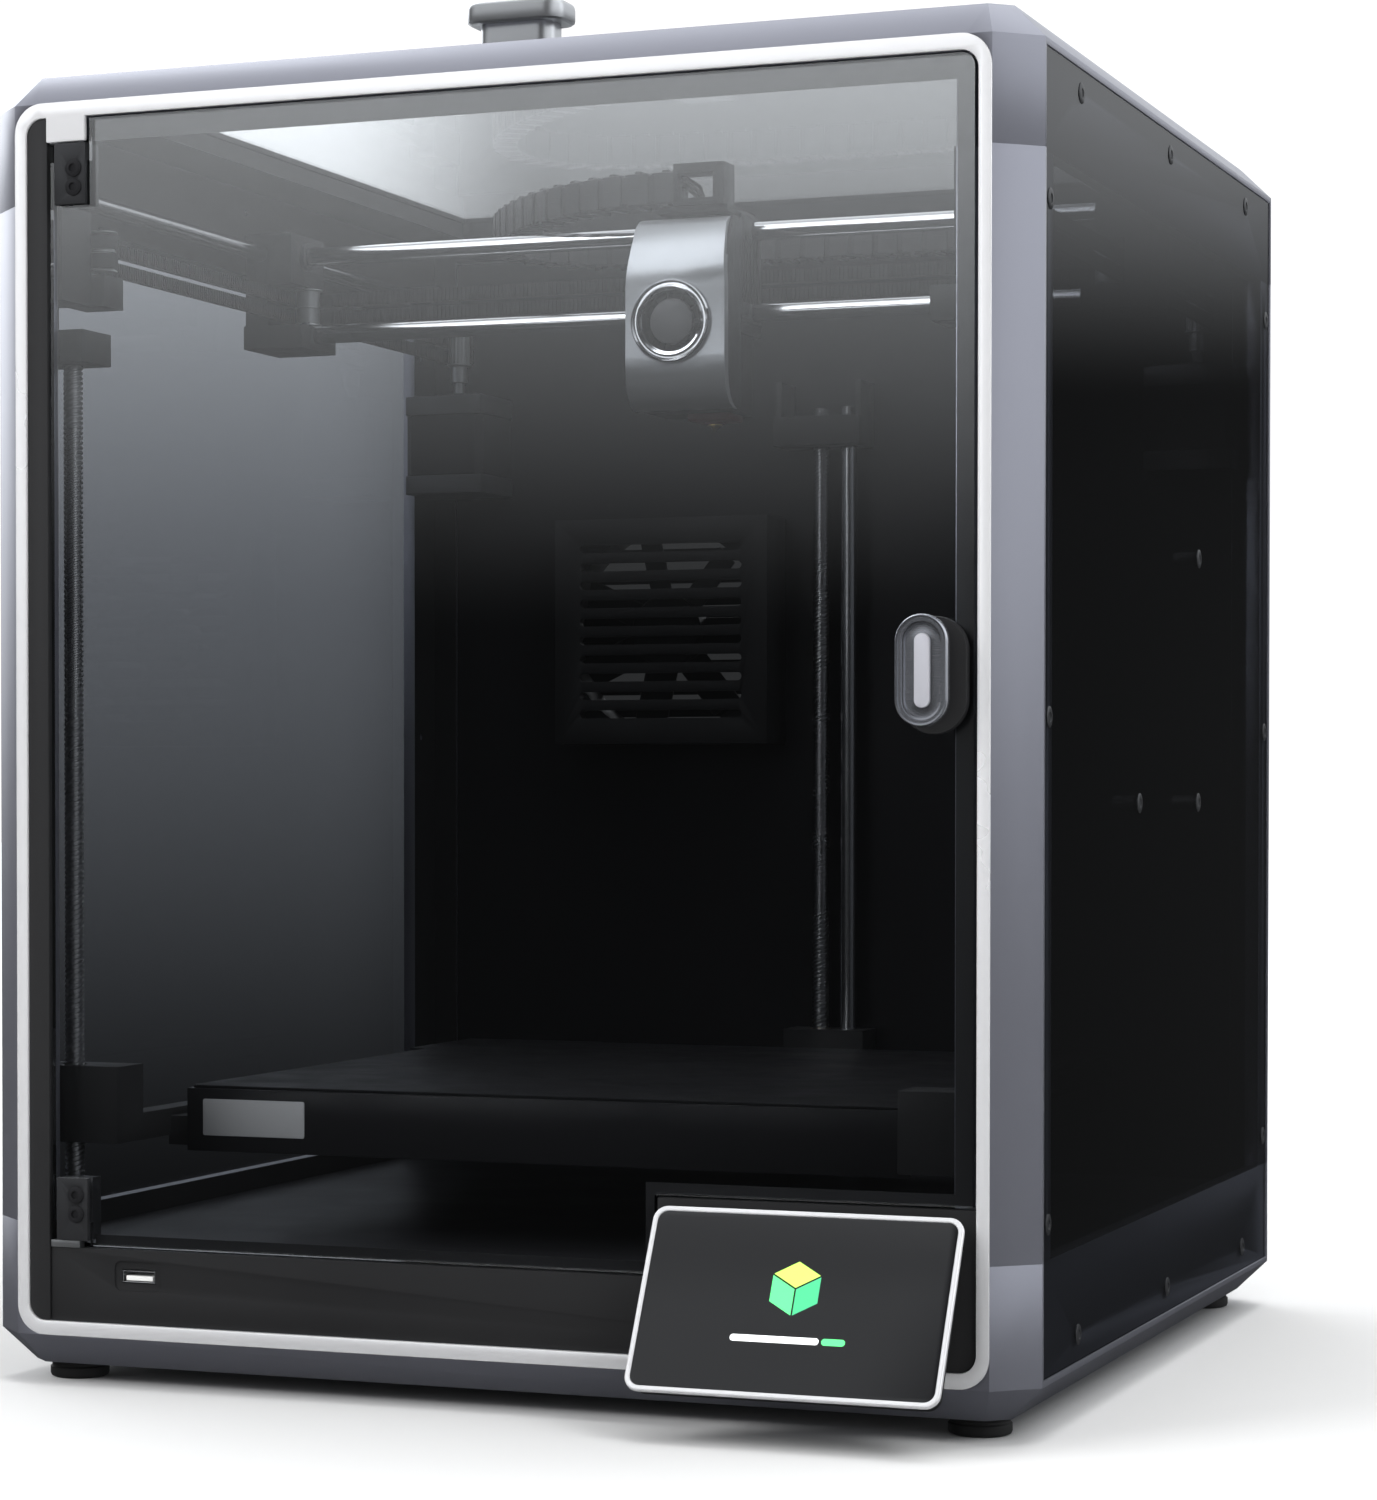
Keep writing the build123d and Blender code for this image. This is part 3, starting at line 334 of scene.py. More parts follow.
# ---------------------------------------------------------------- modelling helpers
class Shape:
    """One mesh in the making: bmesh operators in millimetres, then a piece in metres."""

    def __init__(self) -> None:
        """Start with an empty mesh."""
        self.bm = bmesh.new()

    def block(self, low: Place, high: Place, round_by: float = 0.4, segments: int = 2) -> list:
        """Box between two corners given as x, depth and height, with its edges rounded.

        Returns:
            The vertices of the box.
        """
        made = bmesh.ops.create_cube(self.bm, size=1.0)["verts"]
        size = Vector(high) - Vector(low)
        middle = (Vector(high) + Vector(low)) / 2 + Vector((0, FRONT_FACE_Y, 0))
        bmesh.ops.transform(self.bm, matrix=Matrix.Translation(middle) @ Matrix.Diagonal((*size, 1)),
                            verts=made)
        if round_by:
            edges = list({edge for vert in made for edge in vert.link_edges})
            done = bmesh.ops.bevel(self.bm, geom=edges, offset=round_by, segments=segments, profile=0.5,
                                   affect="EDGES", material=-1, clamp_overlap=True)
            made = list({vert for face in done["faces"] for vert in face.verts}
                        | {v for v in made if v.is_valid})
        return made

    def lathe(self, outline: list[tuple[float, float]], centre: Place, axis: Axis, steps: int = 48) -> list:
        """Solid of revolution from radius and height pairs, closed on the axis.

        Args:
            outline: Radius and height along the axis, from one end to the other.
            centre: x, depth and height of the axis at height zero.
            axis: Direction of the height.
            steps: Number of steps round.

        Returns:
            The vertices of the solid.
        """
        before = set(self.bm.verts)
        verts = [self.bm.verts.new((radius, 0, height)) for radius, height in outline]
        edges = [self.bm.edges.new(pair) for pair in zip(verts, verts[1:])]
        bmesh.ops.spin(self.bm, geom=verts + edges, cent=(0, 0, 0), axis=(0, 0, 1), angle=math.tau, steps=steps,
                       use_merge=True, use_normal_flip=True)
        made = [vert for vert in self.bm.verts if vert not in before]
        bmesh.ops.remove_doubles(self.bm, verts=made, dist=1e-4)
        made = [vert for vert in self.bm.verts if vert not in before]
        place = Matrix.Translation(Vector(centre) + Vector((0, FRONT_FACE_Y, 0))) @ axis.turn
        bmesh.ops.transform(self.bm, matrix=place, verts=made)
        faces = list({face for vert in made for face in vert.link_faces})
        bmesh.ops.recalc_face_normals(self.bm, faces=faces)
        return made

    def cylinder(self, centre: Place, axis: Axis, radius: float, length: float, round_by: float = 0.3,
                 steps: int = 48) -> list:
        """Cylinder centred on a point, with rounded rims."""
        half, cut = length / 2, min(round_by, radius * 0.5, length * 0.3)
        outline = [(0, -half), (radius - cut, -half), (radius, -half + cut), (radius, half - cut),
                   (radius - cut, half), (0, half)]
        return self.lathe(outline, centre, axis, steps)

    def tube(self, centre: Place, axis: Axis, outer: float, inner: float, length: float,
             round_by: float = 0.3, steps: int = 48) -> list:
        """Ring or tube centred on a point, with rounded rims."""
        half, cut = length / 2, min(round_by, (outer - inner) * 0.3, length * 0.3)
        outline = [(inner, -half + cut), (inner + cut, -half), (outer - cut, -half), (outer, -half + cut),
                   (outer, half - cut), (outer - cut, half), (inner + cut, half), (inner, half - cut),
                   (inner, -half + cut)]
        return self.lathe(outline, centre, axis, steps)

    def plate(self, outline: list[tuple[float, float]], frame: Matrix, thick: float,
              round_by: float = 0.3) -> list:
        """Flat plate from a closed outline in a plane, extruded along the plane's normal.

        Args:
            outline: Points in the plane, in order.
            frame: Places the plane, with millimetres and true frame coordinates.
            thick: Extrusion along the plane's Z.
            round_by: Rounding of the far rim.

        Returns:
            The vertices of the plate.
        """
        before = set(self.bm.verts)
        verts = [self.bm.verts.new((x, y, 0)) for x, y in outline]
        face = self.bm.faces.new(verts)
        grown = bmesh.ops.extrude_face_region(self.bm, geom=[face])
        top = [item for item in grown["geom"] if isinstance(item, bmesh.types.BMVert)]
        bmesh.ops.translate(self.bm, vec=(0, 0, thick), verts=top)
        if round_by:
            rim = [edge for edge in {e for v in top for e in v.link_edges} if all(v in top for v in edge.verts)]
            bmesh.ops.bevel(self.bm, geom=rim, offset=round_by, segments=2, profile=0.5, affect="EDGES",
                            material=-1, clamp_overlap=True)
        made = [vert for vert in self.bm.verts if vert not in before]
        faces = list({item for vert in made for item in vert.link_faces})
        bmesh.ops.recalc_face_normals(self.bm, faces=faces)
        bmesh.ops.transform(self.bm, matrix=frame, verts=made)
        return made

    def stack(self, rings: list[tuple[list[tuple[float, float]], float]], frame: Matrix) -> list:
        """Solid through outlines that have the same number of points, each at its own height.

        Args:
            rings: Outline and height of every level, from the first end to the last.
            frame: Places the plane of the outlines.

        Returns:
            The vertices of the solid.
        """
        before = set(self.bm.verts)
        first, height = rings[0]
        face = self.bm.faces.new([self.bm.verts.new((x, y, height)) for x, y in first])
        for outline, height in rings[1:]:
            grown = bmesh.ops.extrude_face_region(self.bm, geom=[face])["geom"]
            below, face = face, next(item for item in grown if isinstance(item, bmesh.types.BMFace))
            for vert, (x, y) in zip(face.verts, outline):
                vert.co = (x, y, height)
            if below.is_valid and outline is not rings[1][0]:
                bmesh.ops.delete(self.bm, geom=[below], context="FACES_ONLY")
        made = [vert for vert in self.bm.verts if vert not in before]
        bmesh.ops.recalc_face_normals(self.bm, faces=list({item for vert in made for item in vert.link_faces}))
        bmesh.ops.transform(self.bm, matrix=frame, verts=made)
        return made

    def piece(self, name: str, finish: AnyFinish, body: str, slot: str, *nodes: str,
              smooth: float = 35.0) -> bpy.types.Object:
        """Turn the mesh into a piece that rides on a body.

        Args:
            name: The piece's name.
            finish: Its surface.
            body: The body that it moves with.
            slot: The record's slot of its finish.
            nodes: Frame nodes that it stands for.
            smooth: Edges that turn by less than this many degrees are shaded smooth.

        Returns:
            The finished object.
        """
        made = self.bent(name, finish, slot, *nodes, smooth=smooth)
        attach(made, body)
        LOG.info("piece %s on %s", name, body)
        return made

    def bent(self, name: str, finish: AnyFinish, slot: str, *nodes: str,
             smooth: float = 35.0) -> bpy.types.Object:
        """Turn the mesh into a piece that rides on nothing yet.

        Args:
            name: The piece's name.
            finish: Its surface.
            slot: The record's slot of its finish; not used.
            nodes: Frame nodes that it stands for.
            smooth: Edges that turn by less than this many degrees are shaded smooth.

        Returns:
            The object, with no body.
        """
        bmesh.ops.scale(self.bm, vec=(MM, MM, MM), verts=self.bm.verts)
        for face in self.bm.faces:
            face.smooth = True
        for edge in self.bm.edges:
            if len(edge.link_faces) != 2 or edge.calc_face_angle(math.pi) > math.radians(smooth):
                edge.smooth = False
        mesh = bpy.data.meshes.new(name)
        self.bm.to_mesh(mesh)
        self.bm.free()
        mesh.materials.append(finish.build())
        made = bpy.data.objects.new(name, mesh)
        bpy.context.scene.collection.objects.link(made)
        if nodes:
            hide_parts(*nodes)
        return made


def outline_slot(width: float, height: float, radius: float, steps: int = 8) -> list[tuple[float, float]]:
    """Closed outline of a rounded rectangle about its middle.

    Args:
        width: Size along the first axis.
        height: Size along the second axis.
        radius: Corner radius.
        steps: Points on each corner less one.

    Returns:
        Points in order round the outline.
    """
    points = []
    for corner in range(4):
        across = (width / 2 - radius) * (1 if corner in (0, 3) else -1)
        along = (height / 2 - radius) * (1 if corner in (0, 1) else -1)
        for step in range(steps + 1):
            angle = math.radians(90 * (corner + step / steps))
            points.append((across + radius * math.cos(angle), along + radius * math.sin(angle)))
    return points


def facing_front(x: float, depth: float, z: float) -> Matrix:
    """Plane whose normal points out of the front, with X to the right and Z up."""
    turn = Matrix(((1, 0, 0, 0), (0, 0, -1, 0), (0, 1, 0, 0), (0, 0, 0, 1)))
    return Matrix.Translation((x, depth + FRONT_FACE_Y, z)) @ turn


def flat_at(x: float, depth: float, z: float) -> Matrix:
    """Level plane with its normal up."""
    return Matrix.Translation((x, depth + FRONT_FACE_Y, z))


def dress(frame: dict, node: str, finish: AnyFinish) -> None:
    """Give a frame node its finish.

    Args:
        frame: The loaded frame.
        node: The node's name.
        finish: Its surface.
    """
    shown = frame["nodes"][node]
    shown.data.materials.clear()
    shown.data.materials.append(finish.build())
    LOG.info("node %s dressed", node)


def soften(frame: dict, node: str, finish: AnyFinish, slot: str, width: float = 0.5) -> bpy.types.Object:
    """A copy of a frame node whose sharp edges are rounded.

    Args:
        frame: The loaded frame.
        node: The node that the piece stands for.
        finish: Its surface.
        slot: The record's slot of its finish.
        width: Width of the rounding.

    Returns:
        The piece.
    """
    shape = Shape()
    shape.bm.from_mesh(frame["nodes"][node].data)
    bmesh.ops.scale(shape.bm, vec=(1 / MM, 1 / MM, 1 / MM), verts=shape.bm.verts)
    bmesh.ops.remove_doubles(shape.bm, verts=shape.bm.verts, dist=0.002)
    bmesh.ops.dissolve_limit(shape.bm, angle_limit=math.radians(0.5), verts=shape.bm.verts,
                             edges=shape.bm.edges, use_dissolve_boundaries=False)
    sharp = [edge for edge in shape.bm.edges
             if len(edge.link_faces) == 2 and edge.calc_face_angle(0) > math.radians(28)]
    bmesh.ops.bevel(shape.bm, geom=sharp, offset=width, segments=2, profile=0.5, affect="EDGES", material=-1,
                    clamp_overlap=True)
    body = frame["nodes"][node]["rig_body"]
    return shape.piece(node + "_shell", finish, body, slot, node, smooth=40)


# ---------------------------------------------------------------- small hardware
def socket_screw(shape: Shape, tip: Place, axis: Axis, out: float, head: float = 2.8, tall: float = 1.8) -> None:
    """Pan head with a round socket, standing on a surface.

    Args:
        shape: The mesh that it joins.
        tip: x, depth and height of the point on the surface.
        axis: Direction of the screw.
        out: 1 or -1, the way along the axis that the head faces.
        head: Radius of the head.
        tall: Height of the head.
    """
    dome = [(0, -2.5), (1.45, -2.5), (1.45, 0), (head, 0), (head, tall * 0.45), (head * 0.86, tall * 0.86),
            (head * 0.62, tall), (head * 0.46, tall), (head * 0.42, tall * 0.35), (0, tall * 0.35)]
    outline = [(radius, height * out) for radius, height in dome]
    shape.lathe(outline, tip, axis, steps=24)


@dataclass
class Cabinet:
    """The grey frame with its panels, covers, trim and feet."""

    screw_rows: tuple[float, ...] = (79.5, 266.0, 455.5)
    screw_columns: tuple[float, ...] = (24.5, 415.5)
    rail_screws: tuple[float, ...] = (70.0, 220.0, 370.0)
    rail_heights: tuple[float, ...] = (33.0, 501.5)
    inner_screws: tuple[tuple[float, float], ...] = ((276.0, 338.0), (168.0, 234.0), (276.0, 234.0))
    panel_face: float = 217.0
    foot_places: tuple[float, ...] = (30.0, 410.0)

    def build(self, frame: dict) -> None:
        """Dress the frame nodes and add what they leave out."""
        for node in ("base_frame", "corner_columns", "top_frame"):
            soften(frame, node, Finishes.FRAME, "frame_paint", 0.6)
            self.black_inner_layer(frame, node)
        soften(frame, "front_trim", Finishes.TRIM, "bright_trim", 0.5)
        soften(frame, "hinge_strip", Finishes.STRIP, "black_plastic", 0.3)
        soften(frame, "lower_fascia", Finishes.BLACK_PLASTIC, "black_plastic", 0.3)
        dress(frame, "side_panels", Finishes.SMOKED)
        dress(frame, "rear_panel", Finishes.BLACK_STEEL)
        dress(frame, "bottom_cover", Finishes.BLACK_STEEL)
        dress(frame, "chamber_floor", Finishes.BLACK_STEEL)
        soften(frame, "chamber_light", Finishes.BLACK_PLASTIC, "black_plastic", 0.4)
        self.panel_screws()
        self.feet()
        self.usb_socket()

    def black_inner_layer(self, frame: dict, node: str) -> None:
        """Thin black layer over the faces of a frame node that look into the chamber, which makes those faces
        black.

        Args:
            frame: The loaded frame.
            node: The frame node.
        """
        shape = Shape()
        shape.bm.from_mesh(frame["nodes"][node].data)
        bmesh.ops.scale(shape.bm, vec=(1 / MM, 1 / MM, 1 / MM), verts=shape.bm.verts)
        bmesh.ops.remove_doubles(shape.bm, verts=shape.bm.verts, dist=0.002)
        hidden = []
        for face in shape.bm.faces:
            at, out = face.calc_center_median(), face.normal
            depth = at.y - FRONT_FACE_Y
            inside = abs(at.x) < 209.0 and 12.0 < depth < 434.0 and 19.0 < at.z < 519.0
            toward = Vector((-at.x / 208.0, (220.0 - depth) / 220.0, (270.0 - at.z) / 250.0))
            if not (inside and out.dot(toward) > 0.2):
                hidden.append(face)
        bmesh.ops.delete(shape.bm, geom=hidden, context="FACES")
        if shape.bm.faces:
            bmesh.ops.solidify(shape.bm, geom=shape.bm.faces, thickness=-0.12)
            bmesh.ops.recalc_face_normals(shape.bm, faces=shape.bm.faces)
            shape.piece(node + "_lining", Finishes.BLACK_PLASTIC, "chassis", "black_plastic")

    def panel_screws(self) -> None:
        """Black pan-head screws round the edges of both side panels."""
        places = [(d, z) for d in self.screw_columns for z in self.screw_rows]
        places += [(d, z) for d in self.rail_screws for z in self.rail_heights]
        shape = Shape()
        for side in (-1, 1):
            for depth, height in places + (list(self.inner_screws) if side > 0 else []):
                socket_screw(shape, (side * self.panel_face, depth, height), Axis.X, side, head=4.0, tall=0.5)
        for depth, height in self.inner_screws:
            shape.cylinder((209.0, depth, height), Axis.X, 3.0, 9.6, steps=20)
        shape.piece("panel_fasteners", Finishes.DARK_METAL, "chassis", "black_steel", "panel_screws")

    def feet(self) -> None:
        """Rubber feet, with a waist and a rounded sole."""
        shape = Shape()
        for x in (-190.0, 190.0):
            for depth in self.foot_places:
                outline = [(0, 0), (10.2, 0), (11.6, 0.6), (12.0, 1.6), (12.0, 4.2), (11.3, 4.8), (11.3, 5.6),
                           (12.0, 6.2), (12.0, 7.5), (0, 7.5)]
                shape.lathe(outline, (x, depth, 0), Axis.Z, steps=56)
        shape.piece("rubber_feet", Finishes.RUBBER, "chassis", "rubber", "feet", smooth=32)

    def usb_socket(self) -> None:
        """Steel shell of the socket and its white contact block."""
        shell = Shape()
        for low, high in (((-155.4, 2.2, 47.6), (-140.7, 12, 48.1)), ((-155.4, 2.2, 42.9), (-140.7, 12, 43.4)),
                          ((-155.4, 2.2, 43.4), (-154.9, 12, 47.6)), ((-141.2, 2.2, 43.4), (-140.7, 12, 47.6)),
                          ((-155.4, 11.5, 42.9), (-140.7, 12, 48.1))):
            shell.block(low, high, 0.1, 1)
        shell.piece("usb_shell", Finishes.CHROME, "chassis", "chrome", "usb_port")
        tongue = Shape()
        tongue.block((-154.0, 3.0, 43.7), (-142.1, 11.4, 45.7), 0.2)
        tongue.piece("usb_contacts", Finishes.CONTACT, "chassis", "chrome")


@dataclass
class Door:
    """Glass door with its printed border, hinge clamps and pull handle."""

    left: float = -186.0
    right: float = 195.0
    bottom: float = 57.0
    top: float = 506.5
    notch: tuple[float, float] = (71.5, 87.0)
    screw_x: float = -174.5
    screw_heights: tuple[float, ...] = (69.7, 77.4, 479.1, 486.6)
    handle: tuple[float, float] = (179.0, 282.5)

    def build(self, frame: dict) -> None:
        """Dress the glass and build the fittings on it."""
        dress(frame, "door_glass", Finishes.DOOR)
        soften(frame, "hinge_clamps", Finishes.DARK_METAL, "black_plastic", 0.4)
        soften(frame, "hinge_pivots", Finishes.SILVER, "silver", 0.3)
        self.border()
        self.screws()
        self.pull()

    def border(self) -> None:
        """Dark print on the back of the glass along its closing edges."""
        shape = Shape()
        back, front = 5.25, 5.02
        corner, shelf = self.notch
        for low, high in (((-168.0, front, 497.5), (self.right - 0.5, back, self.top - 0.5)),
                          ((187.7, front, shelf + 0.4), (self.right - 0.5, back, 497.5)),
                          ((-168.0, front, self.bottom + 0.4), (corner - 0.4, back, 61.5)),
                          ((corner - 4.5, front, 61.5), (corner - 0.4, back, shelf + 4.5)),
                          ((corner - 0.4, front, shelf + 0.4), (187.7, back, shelf + 4.5))):
            shape.block(low, high, 0)
        shape.piece("door_border", Finishes.PRINT, "door", "black_plastic")

    def screws(self) -> None:
        """Socket screws through the clamps."""
        shape = Shape()
        for height in self.screw_heights:
            socket_screw(shape, (self.screw_x, -1.0, height), Axis.Y, 1, head=3.5, tall=1.2)
        shape.piece("clamp_screws", Finishes.BLACK_STEEL, "door", "black_steel", "hinge_screws")

    def pull(self) -> None:
        """Oval pull: black base, stepped rim and a dished face with a raised bar."""
        x, height = self.handle
        base = Shape()
        base.plate(outline_slot(25, 43, 12.4, 10), facing_front(x + 2, 1.0, height - 1.5), 4.0, 0.8)
        base.piece("handle_foot", Finishes.BLACK_PLASTIC, "door", "black_plastic", "handle_base")
        shape = Shape()
        steps = ((15, 3.0), (15, 8.2), (17.5, 8.4), (19.4, 8.8), (20, 9.6), (20, 11.8), (19.6, 12.6), (18.8, 13.0),
                 (17.6, 12.9), (17.2, 12.2), (15.2, 12.2), (14.8, 11.6), (13.6, 11.4), (12.8, 10.4), (6.6, 10.2),
                 (6.2, 10.3))
        rings = [(outline_slot(wide, wide + 21, wide / 2 - 0.05, 12), rise) for wide, rise in steps]
        shape.stack(rings, facing_front(x, 0.0, height))
        shape.piece("pull_handle", Finishes.BRUSHED, "door", "silver", "door_handle", smooth=34)
        bar = Shape()
        bar.plate(outline_slot(6.0, 27.0, 2.9, 12), facing_front(x, -10.0, height), 1.5, 0.5)
        bar.piece("handle_bar", Finishes.BAR, "door", "silver", smooth=34)


@dataclass
class Lid:
    """Lift-off lid: clear sheet, dark border and a knob."""

    knob_depth: float = 43.0

    def build(self, frame: dict) -> None:
        """Dress the sheet and build the knob."""
        dress(frame, "lid_glass", Finishes.LID)
        soften(frame, "lid_gasket", Finishes.BLACK_PLASTIC, "rubber", 0.3)
        shape = Shape()
        shape.cylinder((0, self.knob_depth, 522.5), Axis.Z, 3.0, 6.0)
        shape.plate(outline_slot(31, 17, 6, 8), flat_at(0, self.knob_depth, 525.5), 13.5, 0.2)
        steps = ((-2.0, 0.0), (0.0, 0.7), (0.5, 1.8), (0.5, 5.6), (-0.2, 7.0), (-1.6, 7.8), (-2.4, 8.0))
        rings = [(outline_slot(40 + grow, 24 + grow, 7 + grow / 2, 8), rise) for grow, rise in steps]
        shape.stack(rings, flat_at(0, self.knob_depth, 538.0))
        shape.piece("lid_pull", Finishes.SILVER, "lid", "silver", "lid_knob", smooth=34)


@dataclass
class TouchScreen:
    """Tilted screen: dark housing, bright rim, black glass and a plain cube sign."""

    middle: Place = (134.0, -22.5, 52.0)
    tilt: float = 28.7
    size: tuple[float, float] = (120.0, 73.0)

    def face(self, forward: float) -> Matrix:
        """Plane of the screen, moved out of the glass by some millimetres."""
        x, depth, z = self.middle
        lean = Matrix.Rotation(math.radians(90 - self.tilt), 4, "X")
        return Matrix.Translation((x, depth + FRONT_FACE_Y, z)) @ lean @ Matrix.Translation((0, 0, forward))

    def build(self, frame: dict) -> None:
        """Build the rim, the glass and the sign."""
        soften(frame, "screen_housing", Finishes.BLACK_PLASTIC, "black_plastic", 0.5)
        width, height = self.size
        rim = Shape()
        outer = [rim.bm.verts.new((*point, -2.0)) for point in outline_slot(width, height, 5.5)]
        inner = [rim.bm.verts.new((*point, -2.0)) for point in outline_slot(width - 4, height - 4, 4.0)]
        count = len(outer)
        ring = [rim.bm.faces.new((outer[i], outer[(i + 1) % count], inner[(i + 1) % count], inner[i]))
                for i in range(count)]
        grown = bmesh.ops.extrude_face_region(rim.bm, geom=ring)["geom"]
        top = [item for item in grown if isinstance(item, bmesh.types.BMVert)]
        bmesh.ops.translate(rim.bm, vec=(0, 0, 2.0), verts=top)
        top_edges = [e for e in {e for v in top for e in v.link_edges}
                     if all(v in top for v in e.verts) and e.calc_face_angle(0) > 1]
        bmesh.ops.bevel(rim.bm, geom=top_edges, offset=0.6, segments=3, profile=0.5, affect="EDGES",
                        material=-1)
        bmesh.ops.recalc_face_normals(rim.bm, faces=rim.bm.faces)
        bmesh.ops.transform(rim.bm, matrix=self.face(0), verts=rim.bm.verts)
        rim.piece("screen_rim", Finishes.TRIM, "chassis", "silver", "screen_bezel")
        glass = Shape()
        glass.plate(outline_slot(width - 4, height - 4, 4.0), self.face(-2.0), 1.7, 0.3)
        glass.piece("screen_front", Finishes.SCREEN_FACE, "chassis", "screen", "screen_glass")
        self.sign()

    def sign(self) -> None:
        """A plain cube and a progress bar, a hair in front of the glass."""
        radius, height = 11.0, 6.0
        points = [(radius * math.cos(math.radians(30 + 60 * i)),
                   radius * math.sin(math.radians(30 + 60 * i)) + height)
                  for i in range(6)]
        centre = (0.0, height)
        sides = {"top": (Finishes.ICON_LIME, (points[0], points[1], points[2], centre)),
                 "left": (Finishes.ICON_GREEN, (points[2], points[3], points[4], centre)),
                 "right": (Finishes.ICON_MINT, (points[4], points[5], points[0], centre))}
        for side, (finish, outline) in sides.items():
            middle = Vector((sum(p[0] for p in outline) / 4, sum(p[1] for p in outline) / 4))
            shrunk = [tuple(middle + (Vector(p) - middle) * 0.93) for p in outline]
            shape = Shape()
            shape.plate(shrunk, self.face(-0.3), 0.06, 0)
            shape.piece("sign_cube_" + side, finish, "chassis", "screen")
        bar = Shape()
        bar.plate([(x - 5, y - 14) for x, y in outline_slot(34, 2.6, 1.25, 6)], self.face(-0.3), 0.06, 0)
        bar.piece("sign_bar", Finishes.ICON_WHITE, "chassis", "screen")
        rest = Shape()
        rest.plate([(x + 17.5, y - 14) for x, y in outline_slot(9, 2.6, 1.25, 6)], self.face(-0.3), 0.06, 0)
        rest.piece("sign_bar_rest", Finishes.ICON_GREEN, "chassis", "screen")


